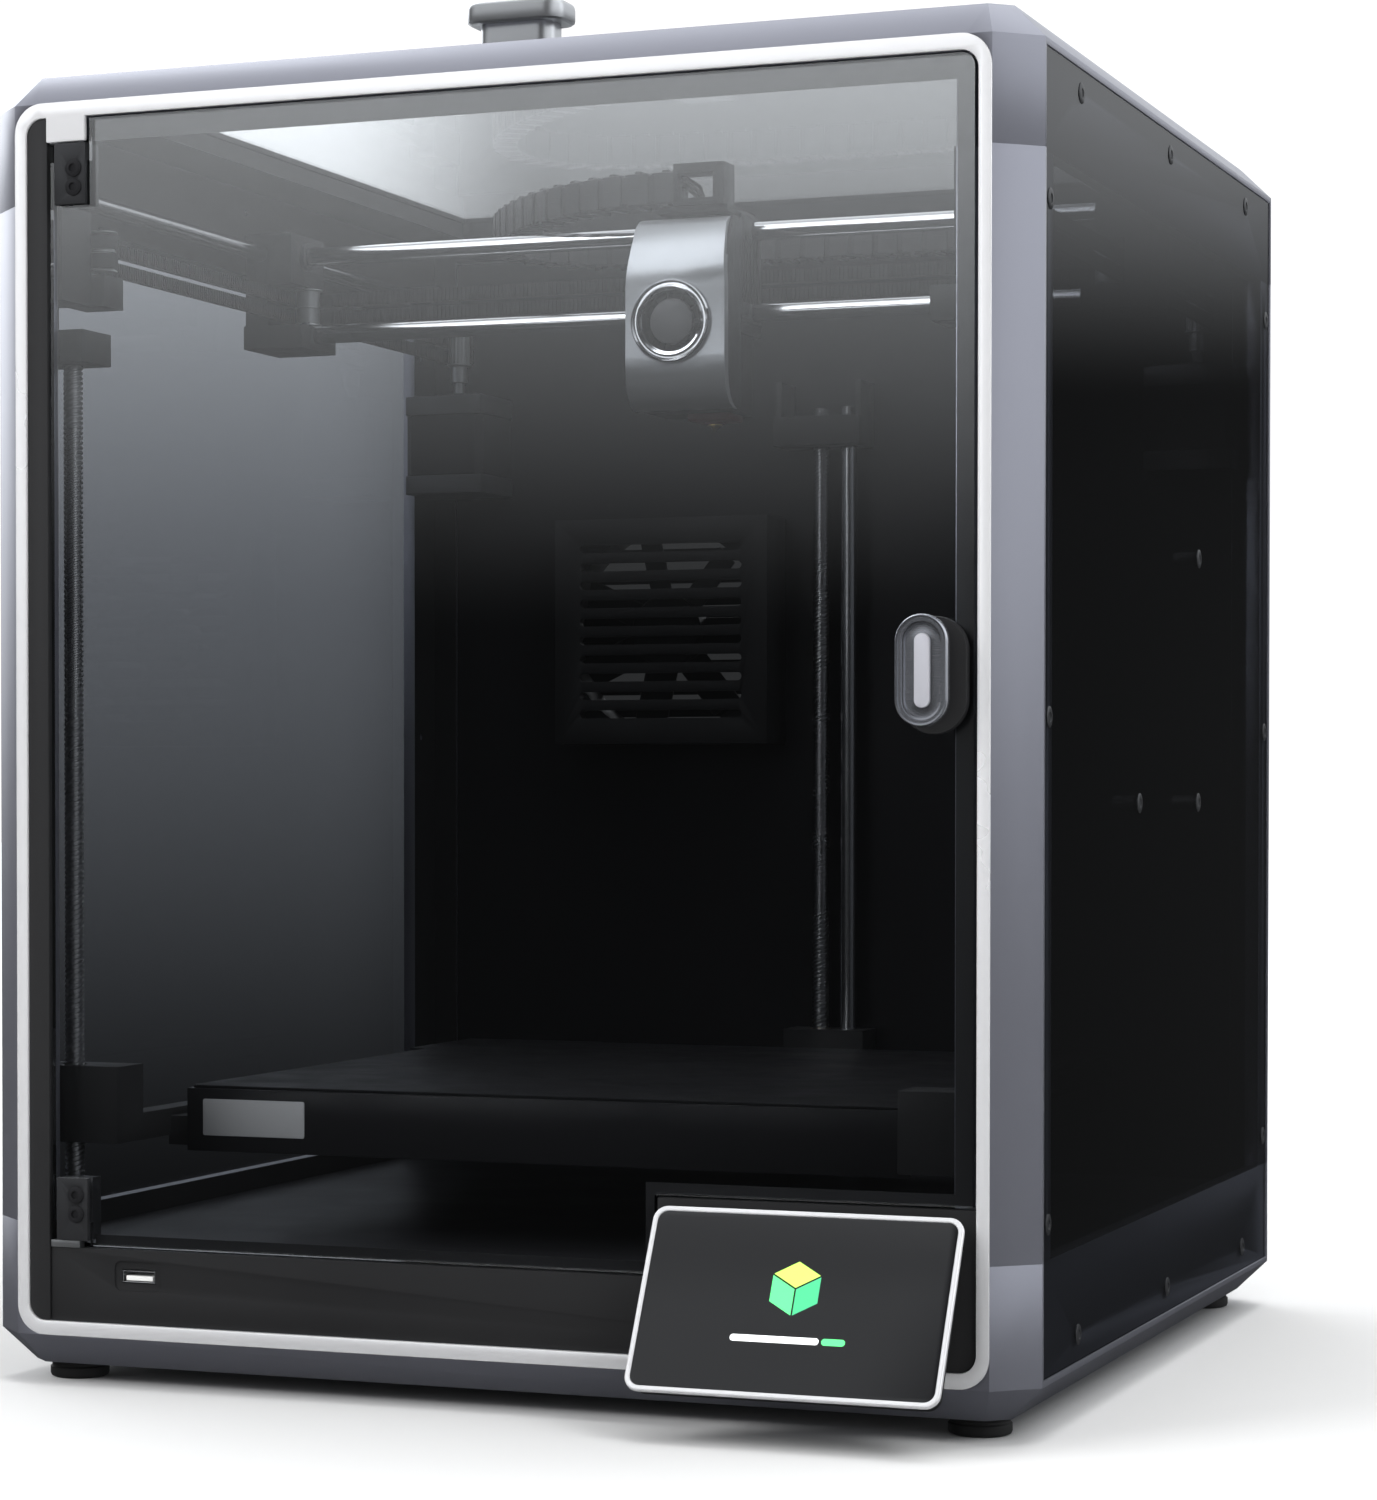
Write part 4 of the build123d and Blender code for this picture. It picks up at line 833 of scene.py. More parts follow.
@dataclass
class Drives:
    """Rods, lead screws, belts, pulleys and motors fixed to the frame or turning in it."""

    screws: tuple[tuple[str, float, float], ...] = (("left", -188.0, 24.0), ("right", 188.0, 24.0),
                                                    ("rear", 1.0, 422.0))
    pulley_x: float = 184.5
    front: float = 42.0
    rear: float = 410.0
    belt_levels: tuple[float, ...] = (455.0, 463.0)
    thread_low: float = 58.0
    lead: float = 8.0
    turns: int = 46

    def build(self, frame: dict) -> None:
        """Dress the rods and brackets and build what turns."""
        dress(frame, "guide_rods", Finishes.ROD)
        soften(frame, "rod_brackets", Finishes.BLACK_PLASTIC, "black_plastic", 0.5)
        dress(frame, "drive_belts", Finishes.BELT)
        for name, x, depth in self.screws:
            self.lead_screw(name, x, depth)
        for side, name in ((-1, "left"), (1, "right")):
            self.idler(f"front_pulley_{name}", f"front_idler_{name}", side * self.pulley_x, self.front)
            self.idler(f"gantry_pulley_{name}", f"gantry_idler_{name}", side * self.pulley_x, 236.5)
            self.motor_pulley(name, side * self.pulley_x)
        self.belt_teeth()
        self.motors()
        shape = Shape()
        shape.cylinder((-60, 330, 48.2), Axis.Z, 2.5, 9.8)
        shape.tube((-60, 330, 48.0), Axis.Z, 8.0, 2.4, 6.4)
        for height in (44.4, 51.6):
            shape.tube((-60, 330, height), Axis.Z, 9.2, 2.4, 0.8)
        shape.piece("z_drive_wheel", Finishes.ALLOY, "z_drive_pulley", "aluminium", "z_motor_pulley")

    def lead_screw(self, name: str, x: float, depth: float) -> None:
        """Four-start rolled thread on a core, with its floor pulley."""
        shape = Shape()
        pitch = self.lead / 4
        outline = []
        for start in range(4):
            base = start * pitch
            outline += [(3.1, base), (3.1, base + 0.6), (3.98, base + 1.0), (3.98, base + 1.6)]
        outline.append((3.1, self.lead))
        verts = [shape.bm.verts.new((radius, 0, height)) for radius, height in outline]
        edges = [shape.bm.edges.new(pair) for pair in zip(verts, verts[1:])]
        steps = 16 * self.turns
        bmesh.ops.spin(shape.bm, geom=verts + edges, cent=(0, 0, 0), axis=(0, 0, 1), steps=steps,
                       angle=math.tau * self.turns, dvec=(0, 0, self.lead * self.turns / steps))
        bmesh.ops.remove_doubles(shape.bm, verts=shape.bm.verts, dist=1e-4)
        length = self.lead * (self.turns + 1)
        for height, normal in ((self.lead, (0, 0, -1)), (length - self.lead, (0, 0, 1))):
            whole = list(shape.bm.verts) + list(shape.bm.edges) + list(shape.bm.faces)
            bmesh.ops.bisect_plane(shape.bm, geom=whole, plane_co=(0, 0, height), plane_no=normal,
                                   clear_outer=True)
        bmesh.ops.holes_fill(shape.bm, edges=[e for e in shape.bm.edges if e.is_boundary], sides=0)
        bmesh.ops.recalc_face_normals(shape.bm, faces=shape.bm.faces)
        place = Matrix.Translation((x, depth + FRONT_FACE_Y, self.thread_low - self.lead))
        bmesh.ops.transform(shape.bm, matrix=place, verts=shape.bm.verts)
        shape.cylinder((x, depth, 420.0), Axis.Z, 3.9, 8.0, 0.6, 24)
        shape.cylinder((x, depth, 51.0), Axis.Z, 3.9, 15.5, 0.4, 24)
        shape.piece(f"threaded_screw_{name}", Finishes.THREAD, f"lead_screw_{name}_body", "rod_steel",
                    f"lead_screw_{name}", smooth=28)
        wheel = Shape()
        wheel.tube((x, depth, 48.0), Axis.Z, 8.0, 4.0, 6.4)
        for height in (44.4, 51.6):
            wheel.tube((x, depth, height), Axis.Z, 9.2, 4.0, 0.8)
        wheel.piece(f"screw_wheel_{name}", Finishes.ALLOY, f"lead_screw_{name}_body", "rod_steel")

    def idler(self, name: str, node: str, x: float, depth: float) -> None:
        """Flanged wheel with a smooth belt seat and a bearing face."""
        shape = Shape()
        outline = [(1.6, -8.5), (3.2, -8.5), (3.3, -8.2), (6.3, -8.2), (6.5, -8.0), (6.4, -7.6), (5.3, -7.3),
                   (5.3, -0.5), (5.9, -0.3), (5.9, 0.3), (5.3, 0.5), (5.3, 7.3), (6.4, 7.6), (6.5, 8.0),
                   (6.3, 8.2), (3.3, 8.2), (3.2, 8.5), (1.6, 8.5), (1.6, -8.5)]
        shape.lathe(outline, (x, depth, 459.0), Axis.Z, 40)
        shape.piece(name, Finishes.ALLOY, node + "_body", "aluminium", node)

    def motor_pulley(self, name: str, x: float) -> None:
        """Toothed wheel with its collar on the motor's shaft."""
        shape = Shape()
        shape.cylinder((x, self.rear, 452.7), Axis.Z, 2.45, 32.4)
        shape.tube((x, self.rear, 446.3), Axis.Z, 4.0, 2.4, 8.4)
        for height in (450.9, 467.1):
            shape.tube((x, self.rear, height), Axis.Z, 6.5, 2.4, 0.8)
        shape.tube((x, self.rear, 459.0), Axis.Z, 4.7, 2.4, 15.6)
        for tooth in range(16):
            angle = math.tau * tooth / 16
            made = shape.block((-0.55, -FRONT_FACE_Y + 4.4, -7.8), (0.55, -FRONT_FACE_Y + 5.3, 7.8), 0.2, 1)
            turn = Matrix.Translation((x, self.rear + FRONT_FACE_Y, 459.0)) @ Matrix.Rotation(angle, 4, "Z")
            bmesh.ops.transform(shape.bm, matrix=turn, verts=made)
        shape.piece(f"motor_wheel_{name}", Finishes.ALLOY, f"motor_pulley_{name}_body", "aluminium",
                    f"motor_pulley_{name}")

    def belt_teeth(self) -> None:
        """Teeth on the inner face of the side belts and of the belts on the gantry."""
        pitch, deep = 2.0, 0.75
        side = Shape()
        for half in (-1, 1):
            for level in self.belt_levels:
                for step in range(int((self.rear - self.front) / pitch)):
                    at = self.front + step * pitch
                    inner, outer = sorted((half * 190.5, half * (190.5 - deep)))
                    side.block((inner, at, level - 2.9), (outer, at + 1.1, level + 2.9), 0)
        side.piece("side_belt_teeth", Finishes.BELT, "chassis", "belt_rubber")
        cross = Shape()
        for level in self.belt_levels:
            for step in range(-88, 88):
                cross.block((step * pitch, 243.0 - deep, level - 2.9), (step * pitch + 1.1, 243.0, level + 2.9), 0)
        cross.piece("cross_belt_teeth", Finishes.BELT, "gantry", "belt_rubber")

    def motors(self) -> None:
        """Square stepper motors: dark stack between two alloy end caps with clipped corners."""
        caps, stacks = Shape(), Shape()
        places = [(side * self.pulley_x, self.rear, 386.0, 434.0) for side in (-1, 1)]
        places += [(-60.0, 330.0, 13.0, 43.0)]
        half = 21.15
        for x, depth, low, high in places:
            stacks.block((x - half + 0.6, depth - half + 0.6, low + 6),
                         (x + half - 0.6, depth + half - 0.6, high - 6),
                         3.5, 1)
            for cap_low, cap_high in ((low, low + 9), (high - 9, high)):
                caps.plate(outline_slot(2 * half, 2 * half, 3.6, 2), flat_at(x, depth, cap_low),
                           cap_high - cap_low, 0.4)
            for dx in (-15.5, 15.5):
                for dy in (-15.5, 15.5):
                    socket_screw(caps, (x + dx, depth + dy, high), Axis.Z, 1, head=2.6, tall=1.2)
        for x, depth, low, high in places[:2]:
            caps.tube((x, depth, high + 1), Axis.Z, 11.0, 3.0, 2.0)
        caps.piece("motor_caps", Finishes.DARK_METAL, "chassis", "black_steel", "stepper_motors")
        stacks.piece("motor_stacks", Finishes.BLACK_STEEL, "chassis", "black_steel")


@dataclass
class Gantry:
    """Carriages on the side rods, cross rods and belts."""

    def build(self, frame: dict) -> None:
        """Dress the gantry and add caps and screws."""
        for side in ("left", "right"):
            soften(frame, f"carriage_{side}", Finishes.BLACK_PLASTIC, "black_plastic", 0.6)
        dress(frame, "x_rods", Finishes.ROD)
        dress(frame, "cross_belts", Finishes.BELT)
        shape = Shape()
        for side in (-1, 1):
            for depth in (223.0, 247.0):
                socket_screw(shape, (side * 189.5, depth, 491.0), Axis.Z, 1, head=2.6, tall=1.4)
            for height in (446.0, 481.5):
                shape.tube((side * 182.8, 232.0, height), Axis.X, 6.4, 4.05, 2.4, 0.4, 32)
        shape.piece("carriage_fittings", Finishes.DARK_METAL, "gantry", "black_plastic")


@dataclass
class ToolHead:
    """Print head: silver cover, fan with its ring, body, cable bracket, hot end and nozzle."""

    left: float = -12.0
    right: float = 33.0
    fan: tuple[float, float] = (9.0, 439.0)
    nozzle: tuple[float, float] = (17.5, 222.0)
    nozzle_tip: float = 395.0
    narrowing: float = 2.4     # on each side, at the top

    def build(self, frame: dict) -> None:
        """Build the head from the front to the nozzle."""
        soften(frame, "tool_carriage", Finishes.BLACK_PLASTIC, "black_plastic", 0.6)
        self.cover()
        self.side_ribs()
        self.ring()
        self.rotor()
        self.hot_end()

    def cover(self) -> None:
        """Silver shell: a bent sheet with rounded corners and edges, open at the back, with the fan's hole."""
        shape = Shape()
        bends = ((205.0, 486.8), (201.2, 485.2), (197.6, 481.0), (193.4, 471.0), (190.8, 463.5), (190.1, 459.0),
                 (190.0, 453.0), (190.0, 424.0), (190.1, 418.0), (190.9, 412.5), (193.2, 407.4), (196.8, 404.0),
                 (202.0, 402.2))
        verts = [shape.bm.verts.new((self.left, depth + FRONT_FACE_Y, height)) for depth, height in bends]
        edges = [shape.bm.edges.new(pair) for pair in zip(verts, verts[1:])]
        grown = bmesh.ops.extrude_edge_only(shape.bm, edges=edges)["geom"]
        far = [item for item in grown if isinstance(item, bmesh.types.BMVert)]
        bmesh.ops.translate(shape.bm, vec=(self.right - self.left, 0, 0), verts=far)
        self.pierce(shape, bends)
        self.sides(shape)
        shape.piece("head_cover", Finishes.COVER, "toolhead", "silver", "toolhead_cover", smooth=50)

    def pierce(self, shape: Shape, bends: tuple[tuple[float, float], ...]) -> None:
        """Replace the flat middle of the cover by a face with the fan's round hole.

        Args:
            shape: The cover in the making.
            bends: Depth and height of its bends.
        """
        low, high = bends[7][1], bends[6][1]
        middle = [face for face in shape.bm.faces
                  if low < face.calc_center_median().z < high and abs(face.normal.y) > 0.99]
        bmesh.ops.delete(shape.bm, geom=middle, context="FACES_ONLY")
        rim = [edge for edge in shape.bm.edges
               if all(low - 0.01 <= v.co.z <= high + 0.01 for v in edge.verts)]
        x, height = self.fan
        hole = bmesh.ops.create_circle(shape.bm, segments=64, radius=14.4, cap_ends=False)["verts"]
        place = Matrix.Translation((x, 190.0 + FRONT_FACE_Y, height)) @ Axis.Y.turn
        bmesh.ops.transform(shape.bm, matrix=place, verts=hole)
        round_edges = list({edge for vert in hole for edge in vert.link_edges})
        bmesh.ops.triangle_fill(shape.bm, edges=rim + round_edges, use_beauty=True)
        inward = bmesh.ops.extrude_edge_only(shape.bm, edges=round_edges)["geom"]
        bmesh.ops.translate(shape.bm, vec=(0, 2.4, 0),
                            verts=[v for v in inward if isinstance(v, bmesh.types.BMVert)])

    def sides(self, shape: Shape) -> None:
        """Turn the sheet back along both sides in a rounded step, narrow its top and round the top corners."""
        for x in (self.left, self.right):
            rim = [edge for edge in shape.bm.edges
                   if edge.is_boundary and all(abs(v.co.x - x) < 0.01 for v in edge.verts)]
            for back in (0.5, 1.2, 1.4, 1.6):
                grown = bmesh.ops.extrude_edge_only(shape.bm, edges=rim)["geom"]
                moved = [item for item in grown if isinstance(item, bmesh.types.BMVert)]
                bmesh.ops.translate(shape.bm, vec=(0, back, 0), verts=moved)
                rim = [item for item in grown if isinstance(item, bmesh.types.BMEdge)
                       and all(v in moved for v in item.verts)]
        middle = (self.left + self.right) / 2
        half = (self.right - self.left) / 2
        for vert in shape.bm.verts:
            lift = min(max((vert.co.z - 455.0) / 32.0, 0.0), 1.0)
            off = (vert.co.x - middle) / half
            vert.co.x = middle + off * (half - self.narrowing * lift)
            corner = max(abs(off) - 0.75, 0.0) / 0.25
            vert.co.z -= 2.2 * corner * corner * max(lift - 0.8, 0.0) / 0.2
        folds = [edge for edge in shape.bm.edges if len(edge.link_faces) == 2
                 and edge.calc_face_angle(0) > math.radians(60)
                 and abs(edge.verts[0].co.x - middle) > half - 4.5]
        bmesh.ops.bevel(shape.bm, geom=folds, offset=2.6, segments=4, profile=0.5, affect="EDGES", material=-1,
                        clamp_overlap=True)

    def side_ribs(self) -> None:
        """Cooling slots' ribs and joints on both flanks of the body."""
        shape = Shape()
        outline = [(193.2, 412.0), (196.0, 406.4), (202.0, 403.8), (214.2, 403.8), (214.2, 485.0), (204.6, 485.0),
                   (200.0, 480.0), (195.6, 470.0), (193.2, 462.0)]
        for x in (self.left + 0.9, self.right - 2.1):
            place = Matrix(((0, 0, 1, x), (1, 0, 0, FRONT_FACE_Y), (0, 1, 0, 0), (0, 0, 0, 1)))
            shape.plate(outline, place, 1.2, 0.3)
        for x in (self.left + 0.9, self.right - 0.9):
            for step in range(6):
                depth = 217.0 + step * 3.6
                shape.block((x - 0.5, depth, 449.5), (x + 0.5, depth + 1.6, 478.0), 0.3, 1)
            shape.block((x - 0.45, 214.6, 441.0), (x + 0.45, 240.4, 443.5), 0.3, 1)
        shape.piece("head_flanks", Finishes.BLACK_PLASTIC, "toolhead", "black_plastic")
        cables = Shape()
        for rise, out in ((0.0, 0.0), (1.9, 0.8), (3.8, 1.6)):
            bend = [(CHAIN_END[0] - 3.0, 502.6 - rise), (CHAIN_END[0] + 4.0, 502.4 - rise),
                    (CHAIN_END[0] + 10.0 - out, 498.5 - rise), (CHAIN_END[0] + 12.5 - out, 491.5)]
            self.wire(cables, bend, 209.0)
        cables.piece("head_cables", Finishes.RUBBER, "toolhead", "black_plastic")

    def wire(self, shape: Shape, bend: list[tuple[float, float]], depth: float) -> None:
        """Short bent wire inside the cable bracket, swept as a chain of rings.

        Args:
            shape: The mesh that it joins.
            bend: x and height of the points of its bend.
            depth: Depth of the plane it bends in.
        """
        for (x, z), (next_x, next_z) in zip(bend, bend[1:]):
            span = math.hypot(next_x - x, next_z - z)
            made = shape.cylinder((0, -FRONT_FACE_Y, 0), Axis.X, 0.85, span + 0.8, 0.3, 12)
            turn = (Matrix.Translation(((x + next_x) / 2, depth + FRONT_FACE_Y, (z + next_z) / 2))
                    @ Matrix.Rotation(-math.atan2(next_z - z, next_x - x), 4, "Y"))
            bmesh.ops.transform(shape.bm, matrix=turn, verts=made)

    def ring(self) -> None:
        """Bright ring round the fan, with stepped grooves inside."""
        x, height = self.fan
        shape = Shape()
        outline = [(18.0, 0.2), (18.0, 1.2), (17.7, 2.2), (17.1, 2.8), (16.3, 2.6), (15.9, 1.8), (15.3, 1.8),
                   (15.1, 2.6), (14.5, 3.0), (13.7, 2.7), (13.4, 1.4), (13.0, 1.2), (13.0, -3.0), (14.3, -3.0),
                   (14.3, 0.0), (18.0, 0.0), (18.0, 0.2)]
        shape.lathe(outline[::-1], (x, 190.0, height), Axis.Y, 96)
        shape.piece("fan_rim", Finishes.CHROME, "toolhead", "chrome", "fan_ring")
        well = Shape()
        well.tube((x, 196.0, height), Axis.Y, 14.2, 13.3, 6.0, 0.2, 64)
        for level in (194.2, 196.2, 198.2):
            well.tube((x, level, height), Axis.Y, 13.4, 12.7, 0.7, 0.15, 64)
        well.piece("fan_well", Finishes.BLACK_PLASTIC, "toolhead", "black_plastic")

    def rotor(self) -> None:
        """Fan rotor: grey hub and dark curved blades."""
        x, height = self.fan
        hub = Shape()
        hub.lathe([(0, -1.8), (9.4, -1.8), (9.8, 0.4), (9.5, 1.2), (8.9, 1.6), (0, 1.7)][::-1],
                  (x, 191.0, height), Axis.Y, 64)
        hub.piece("tool_fan_hub", Finishes.HUB, "tool_fan", "black_plastic")
        blades = Shape()
        for blade in range(11):
            made = blades.block((9.5, -FRONT_FACE_Y - 0.35, -1.7), (12.4, -FRONT_FACE_Y + 0.35, 1.7), 0.15, 1)
            turn = (Matrix.Translation((x, 191.0 + FRONT_FACE_Y, height)) @ Axis.Y.turn
                    @ Matrix.Rotation(math.tau * blade / 11, 4, "Z") @ Matrix.Rotation(0.6, 4, "X"))
            bmesh.ops.transform(blades.bm, matrix=turn, verts=made)
        blades.piece("tool_fan_blades", Finishes.BLACK_PLASTIC, "tool_fan", "black_plastic", "tool_fan_rotor")

    def hot_end(self) -> None:
        """Sleeved heater block and the brass nozzle under it."""
        x, depth = self.nozzle
        low = self.nozzle_tip
        sleeve = Shape()
        sleeve.block((x - 9.8, depth - 8.8, low + 3.6), (x + 9.8, depth + 8.8, low + 7.0), 1.2, 3)
        sleeve.cylinder((x, depth, low + 3.4), Axis.Z, 4.6, 1.6, 0.4, 32)
        sleeve.piece("heater_sleeve", Finishes.SLEEVE, "toolhead", "brass", "extruder_hotend")
        tip = Shape()
        tip.lathe([(0, 0), (0.5, 0), (0.7, 0.15), (2.4, 2.0), (3.2, 2.0), (3.2, 3.4), (0, 3.4)],
                  (x, depth, low), Axis.Z, 32)
        tip.piece("nozzle_tip", Finishes.BRASS, "toolhead", "brass")
        drive = Shape()
        drive.block((-3.4, 214.2, 440.2), (25.4, 225.8, 476.4), 1.0)
        drive.piece("filament_drive", Finishes.DARK_METAL, "toolhead", "brass")


@dataclass
class Bed:
    """Heated bed with its fascia, arms, nuts and flexible sheet."""

    badge_at: tuple[float, float, float] = (-124.0, 58.0, 105.0)
    badge_size: tuple[float, float] = (46, 15)
    badge_thick: float = 0.4

    def build(self, frame: dict) -> None:
        """Dress the bed and add the plain plate on its fascia."""
        soften(frame, "bed_frame", Finishes.BLACK_PLASTIC, "black_plastic", 0.5)
        soften(frame, "bed_fascia", Finishes.BLACK_STEEL, "black_steel", 0.3)
        soften(frame, "heated_plate", Finishes.DARK_METAL, "aluminium", 0.3)
        soften(frame, "build_plate", Finishes.SHEET, "black_steel", 0.2)
        dress(frame, "screw_nuts", Finishes.BRASS)
        label = Shape()
        label.plate(outline_slot(*self.badge_size, 0.8, 3), facing_front(*self.badge_at), self.badge_thick, 0.15)
        label.piece("bed_badge", Finishes.PLATE, "bed", "black_steel")


@dataclass
class DragChain:
    """Cable chain from the rear wall round to the tool head, in two stretches."""

    route: tuple[tuple[float, float], ...] = (CHAIN_END, (-24.0, 209.0), (-72.0, 238.0), (-118.0, 300.0),
                                              (-124.0, 352.0), (-84.0, 390.0), (150.0, 391.0))
    low: float = 490.0
    tall: float = 16.0
    wide: float = 12.0
    pitch: float = 12.0
    change_depth: float = 262.0

    def walk(self) -> list[tuple[Vector, float]]:
        """Evenly spaced places and headings along the rounded route."""
        line = [Vector(point) for point in self.route]
        for _ in range(4):
            cut = [line[0]]
            for here, there in zip(line, line[1:]):
                cut += [here.lerp(there, 0.25), here.lerp(there, 0.75)]
            line = cut + [line[-1]]
        places, carry = [], self.pitch / 2
        for here, there in zip(line, line[1:]):
            span = (there - here).length
            while carry <= span:
                heading = math.atan2(there.y - here.y, there.x - here.x)
                places.append((here.lerp(there, carry / span), heading))
                carry += self.pitch
            carry -= span
        return places

    def link(self, shape: Shape, at: Vector, heading: float) -> None:
        """One link: two stepped cheeks, double bridges above and below, and pins."""
        half, top = self.wide / 2, self.tall
        parts = [((-7.2, half - 1.3, 1.2), (2.6, half - 0.1, top - 1.2)),
                 ((-7.2, -half + 0.1, 1.2), (2.6, -half + 1.3, top - 1.2)),
                 ((-1.4, half - 2.5, 2.0), (7.0, half - 1.4, top - 2.0)),
                 ((-1.4, -half + 1.4, 2.0), (7.0, -half + 2.5, top - 2.0)),
                 ((-3.6, -half + 0.4, top - 1.9), (-0.6, half - 0.4, top - 0.1)),
                 ((-3.6, -half + 0.4, 0.1), (-0.6, half - 0.4, 1.9)),
                 ((1.0, -half + 1.6, top - 2.4), (4.6, half - 1.6, top - 1.0)),
                 ((-6.4, half - 0.6, top / 2 - 0.4), (2.0, half - 0.02, top / 2 + 0.4)),
                 ((-6.4, -half + 0.02, top / 2 - 0.4), (2.0, -half + 0.6, top / 2 + 0.4))]
        made = []
        for low, high in parts:
            made += shape.block((low[0], low[1] - FRONT_FACE_Y, low[2]),
                                (high[0], high[1] - FRONT_FACE_Y, high[2]),
                                0.3, 1)
        for side in (-1, 1):
            made += shape.cylinder((-4.6, side * (half - 0.55) - FRONT_FACE_Y, top / 2), Axis.Y,
                                   2.3, 1.0, 0.3, 12)
        place = Matrix.Translation((at.x, at.y + FRONT_FACE_Y, self.low)) @ Matrix.Rotation(heading, 4, "Z")
        bmesh.ops.transform(shape.bm, matrix=place, verts=made)

    def build(self) -> None:
        """Build both stretches, which ride on no body, and the clip that anchors the chain."""
        near, far = Shape(), Shape()
        turned = False
        for at, heading in self.walk():
            turned = turned or at.y > self.change_depth
            self.link(far if turned else near, at, heading)
        front = near.bent("chain_front_run", Finishes.CHAIN, "black_plastic", "drag_chain")
        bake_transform(front)
        rear = far.bent("chain_rear_run", Finishes.CHAIN, "black_plastic")
        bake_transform(rear)
        clip = Shape()
        clip.block((146, 384, 486.5), (162, 433, 489.8), 0.4)
        clip.block((158.5, 384, 489.8), (162, 398, 506), 0.5)
        clip.piece("chain_anchor", Finishes.DARK_METAL, "chassis", "black_plastic")


@dataclass
class RearService:
    """Exhaust fan, mains inlet, switch and the electronics in the bay."""

    fan: tuple[float, float] = (-76.0, 317.0)

    def build(self, frame: dict) -> None:
        """Dress the rear parts and build the fan's rotor."""
        soften(frame, "rear_fan_housing", Finishes.BLACK_PLASTIC, "black_plastic", 0.4)
        soften(frame, "power_inlet", Finishes.BLACK_PLASTIC, "black_plastic", 0.3)
        soften(frame, "power_switch", Finishes.DARK_METAL, "black_plastic", 0.4)
        soften(frame, "electronics", Finishes.DARK_METAL, "black_steel", 0.4)
        x, height = self.fan
        shape = Shape()
        shape.lathe([(0, -7), (17.0, -7), (18.0, -6), (18.0, 6), (17.0, 7), (0, 7)],
                    (x, 420.0, height), Axis.Y, 56)
        for blade in range(7):
            made = shape.block((17.0, -FRONT_FACE_Y - 0.6, -8.0), (47.5, -FRONT_FACE_Y + 0.6, 8.0), 0.4, 1)
            turn = (Matrix.Translation((x, 420.0 + FRONT_FACE_Y, height)) @ Axis.Y.turn
                    @ Matrix.Rotation(math.tau * blade / 7, 4, "Z") @ Matrix.Rotation(1.0, 4, "X"))
            bmesh.ops.transform(shape.bm, matrix=turn, verts=made)
        shape.piece("exhaust_rotor", Finishes.BLACK_PLASTIC, "rear_fan", "black_plastic", "rear_fan_rotor")


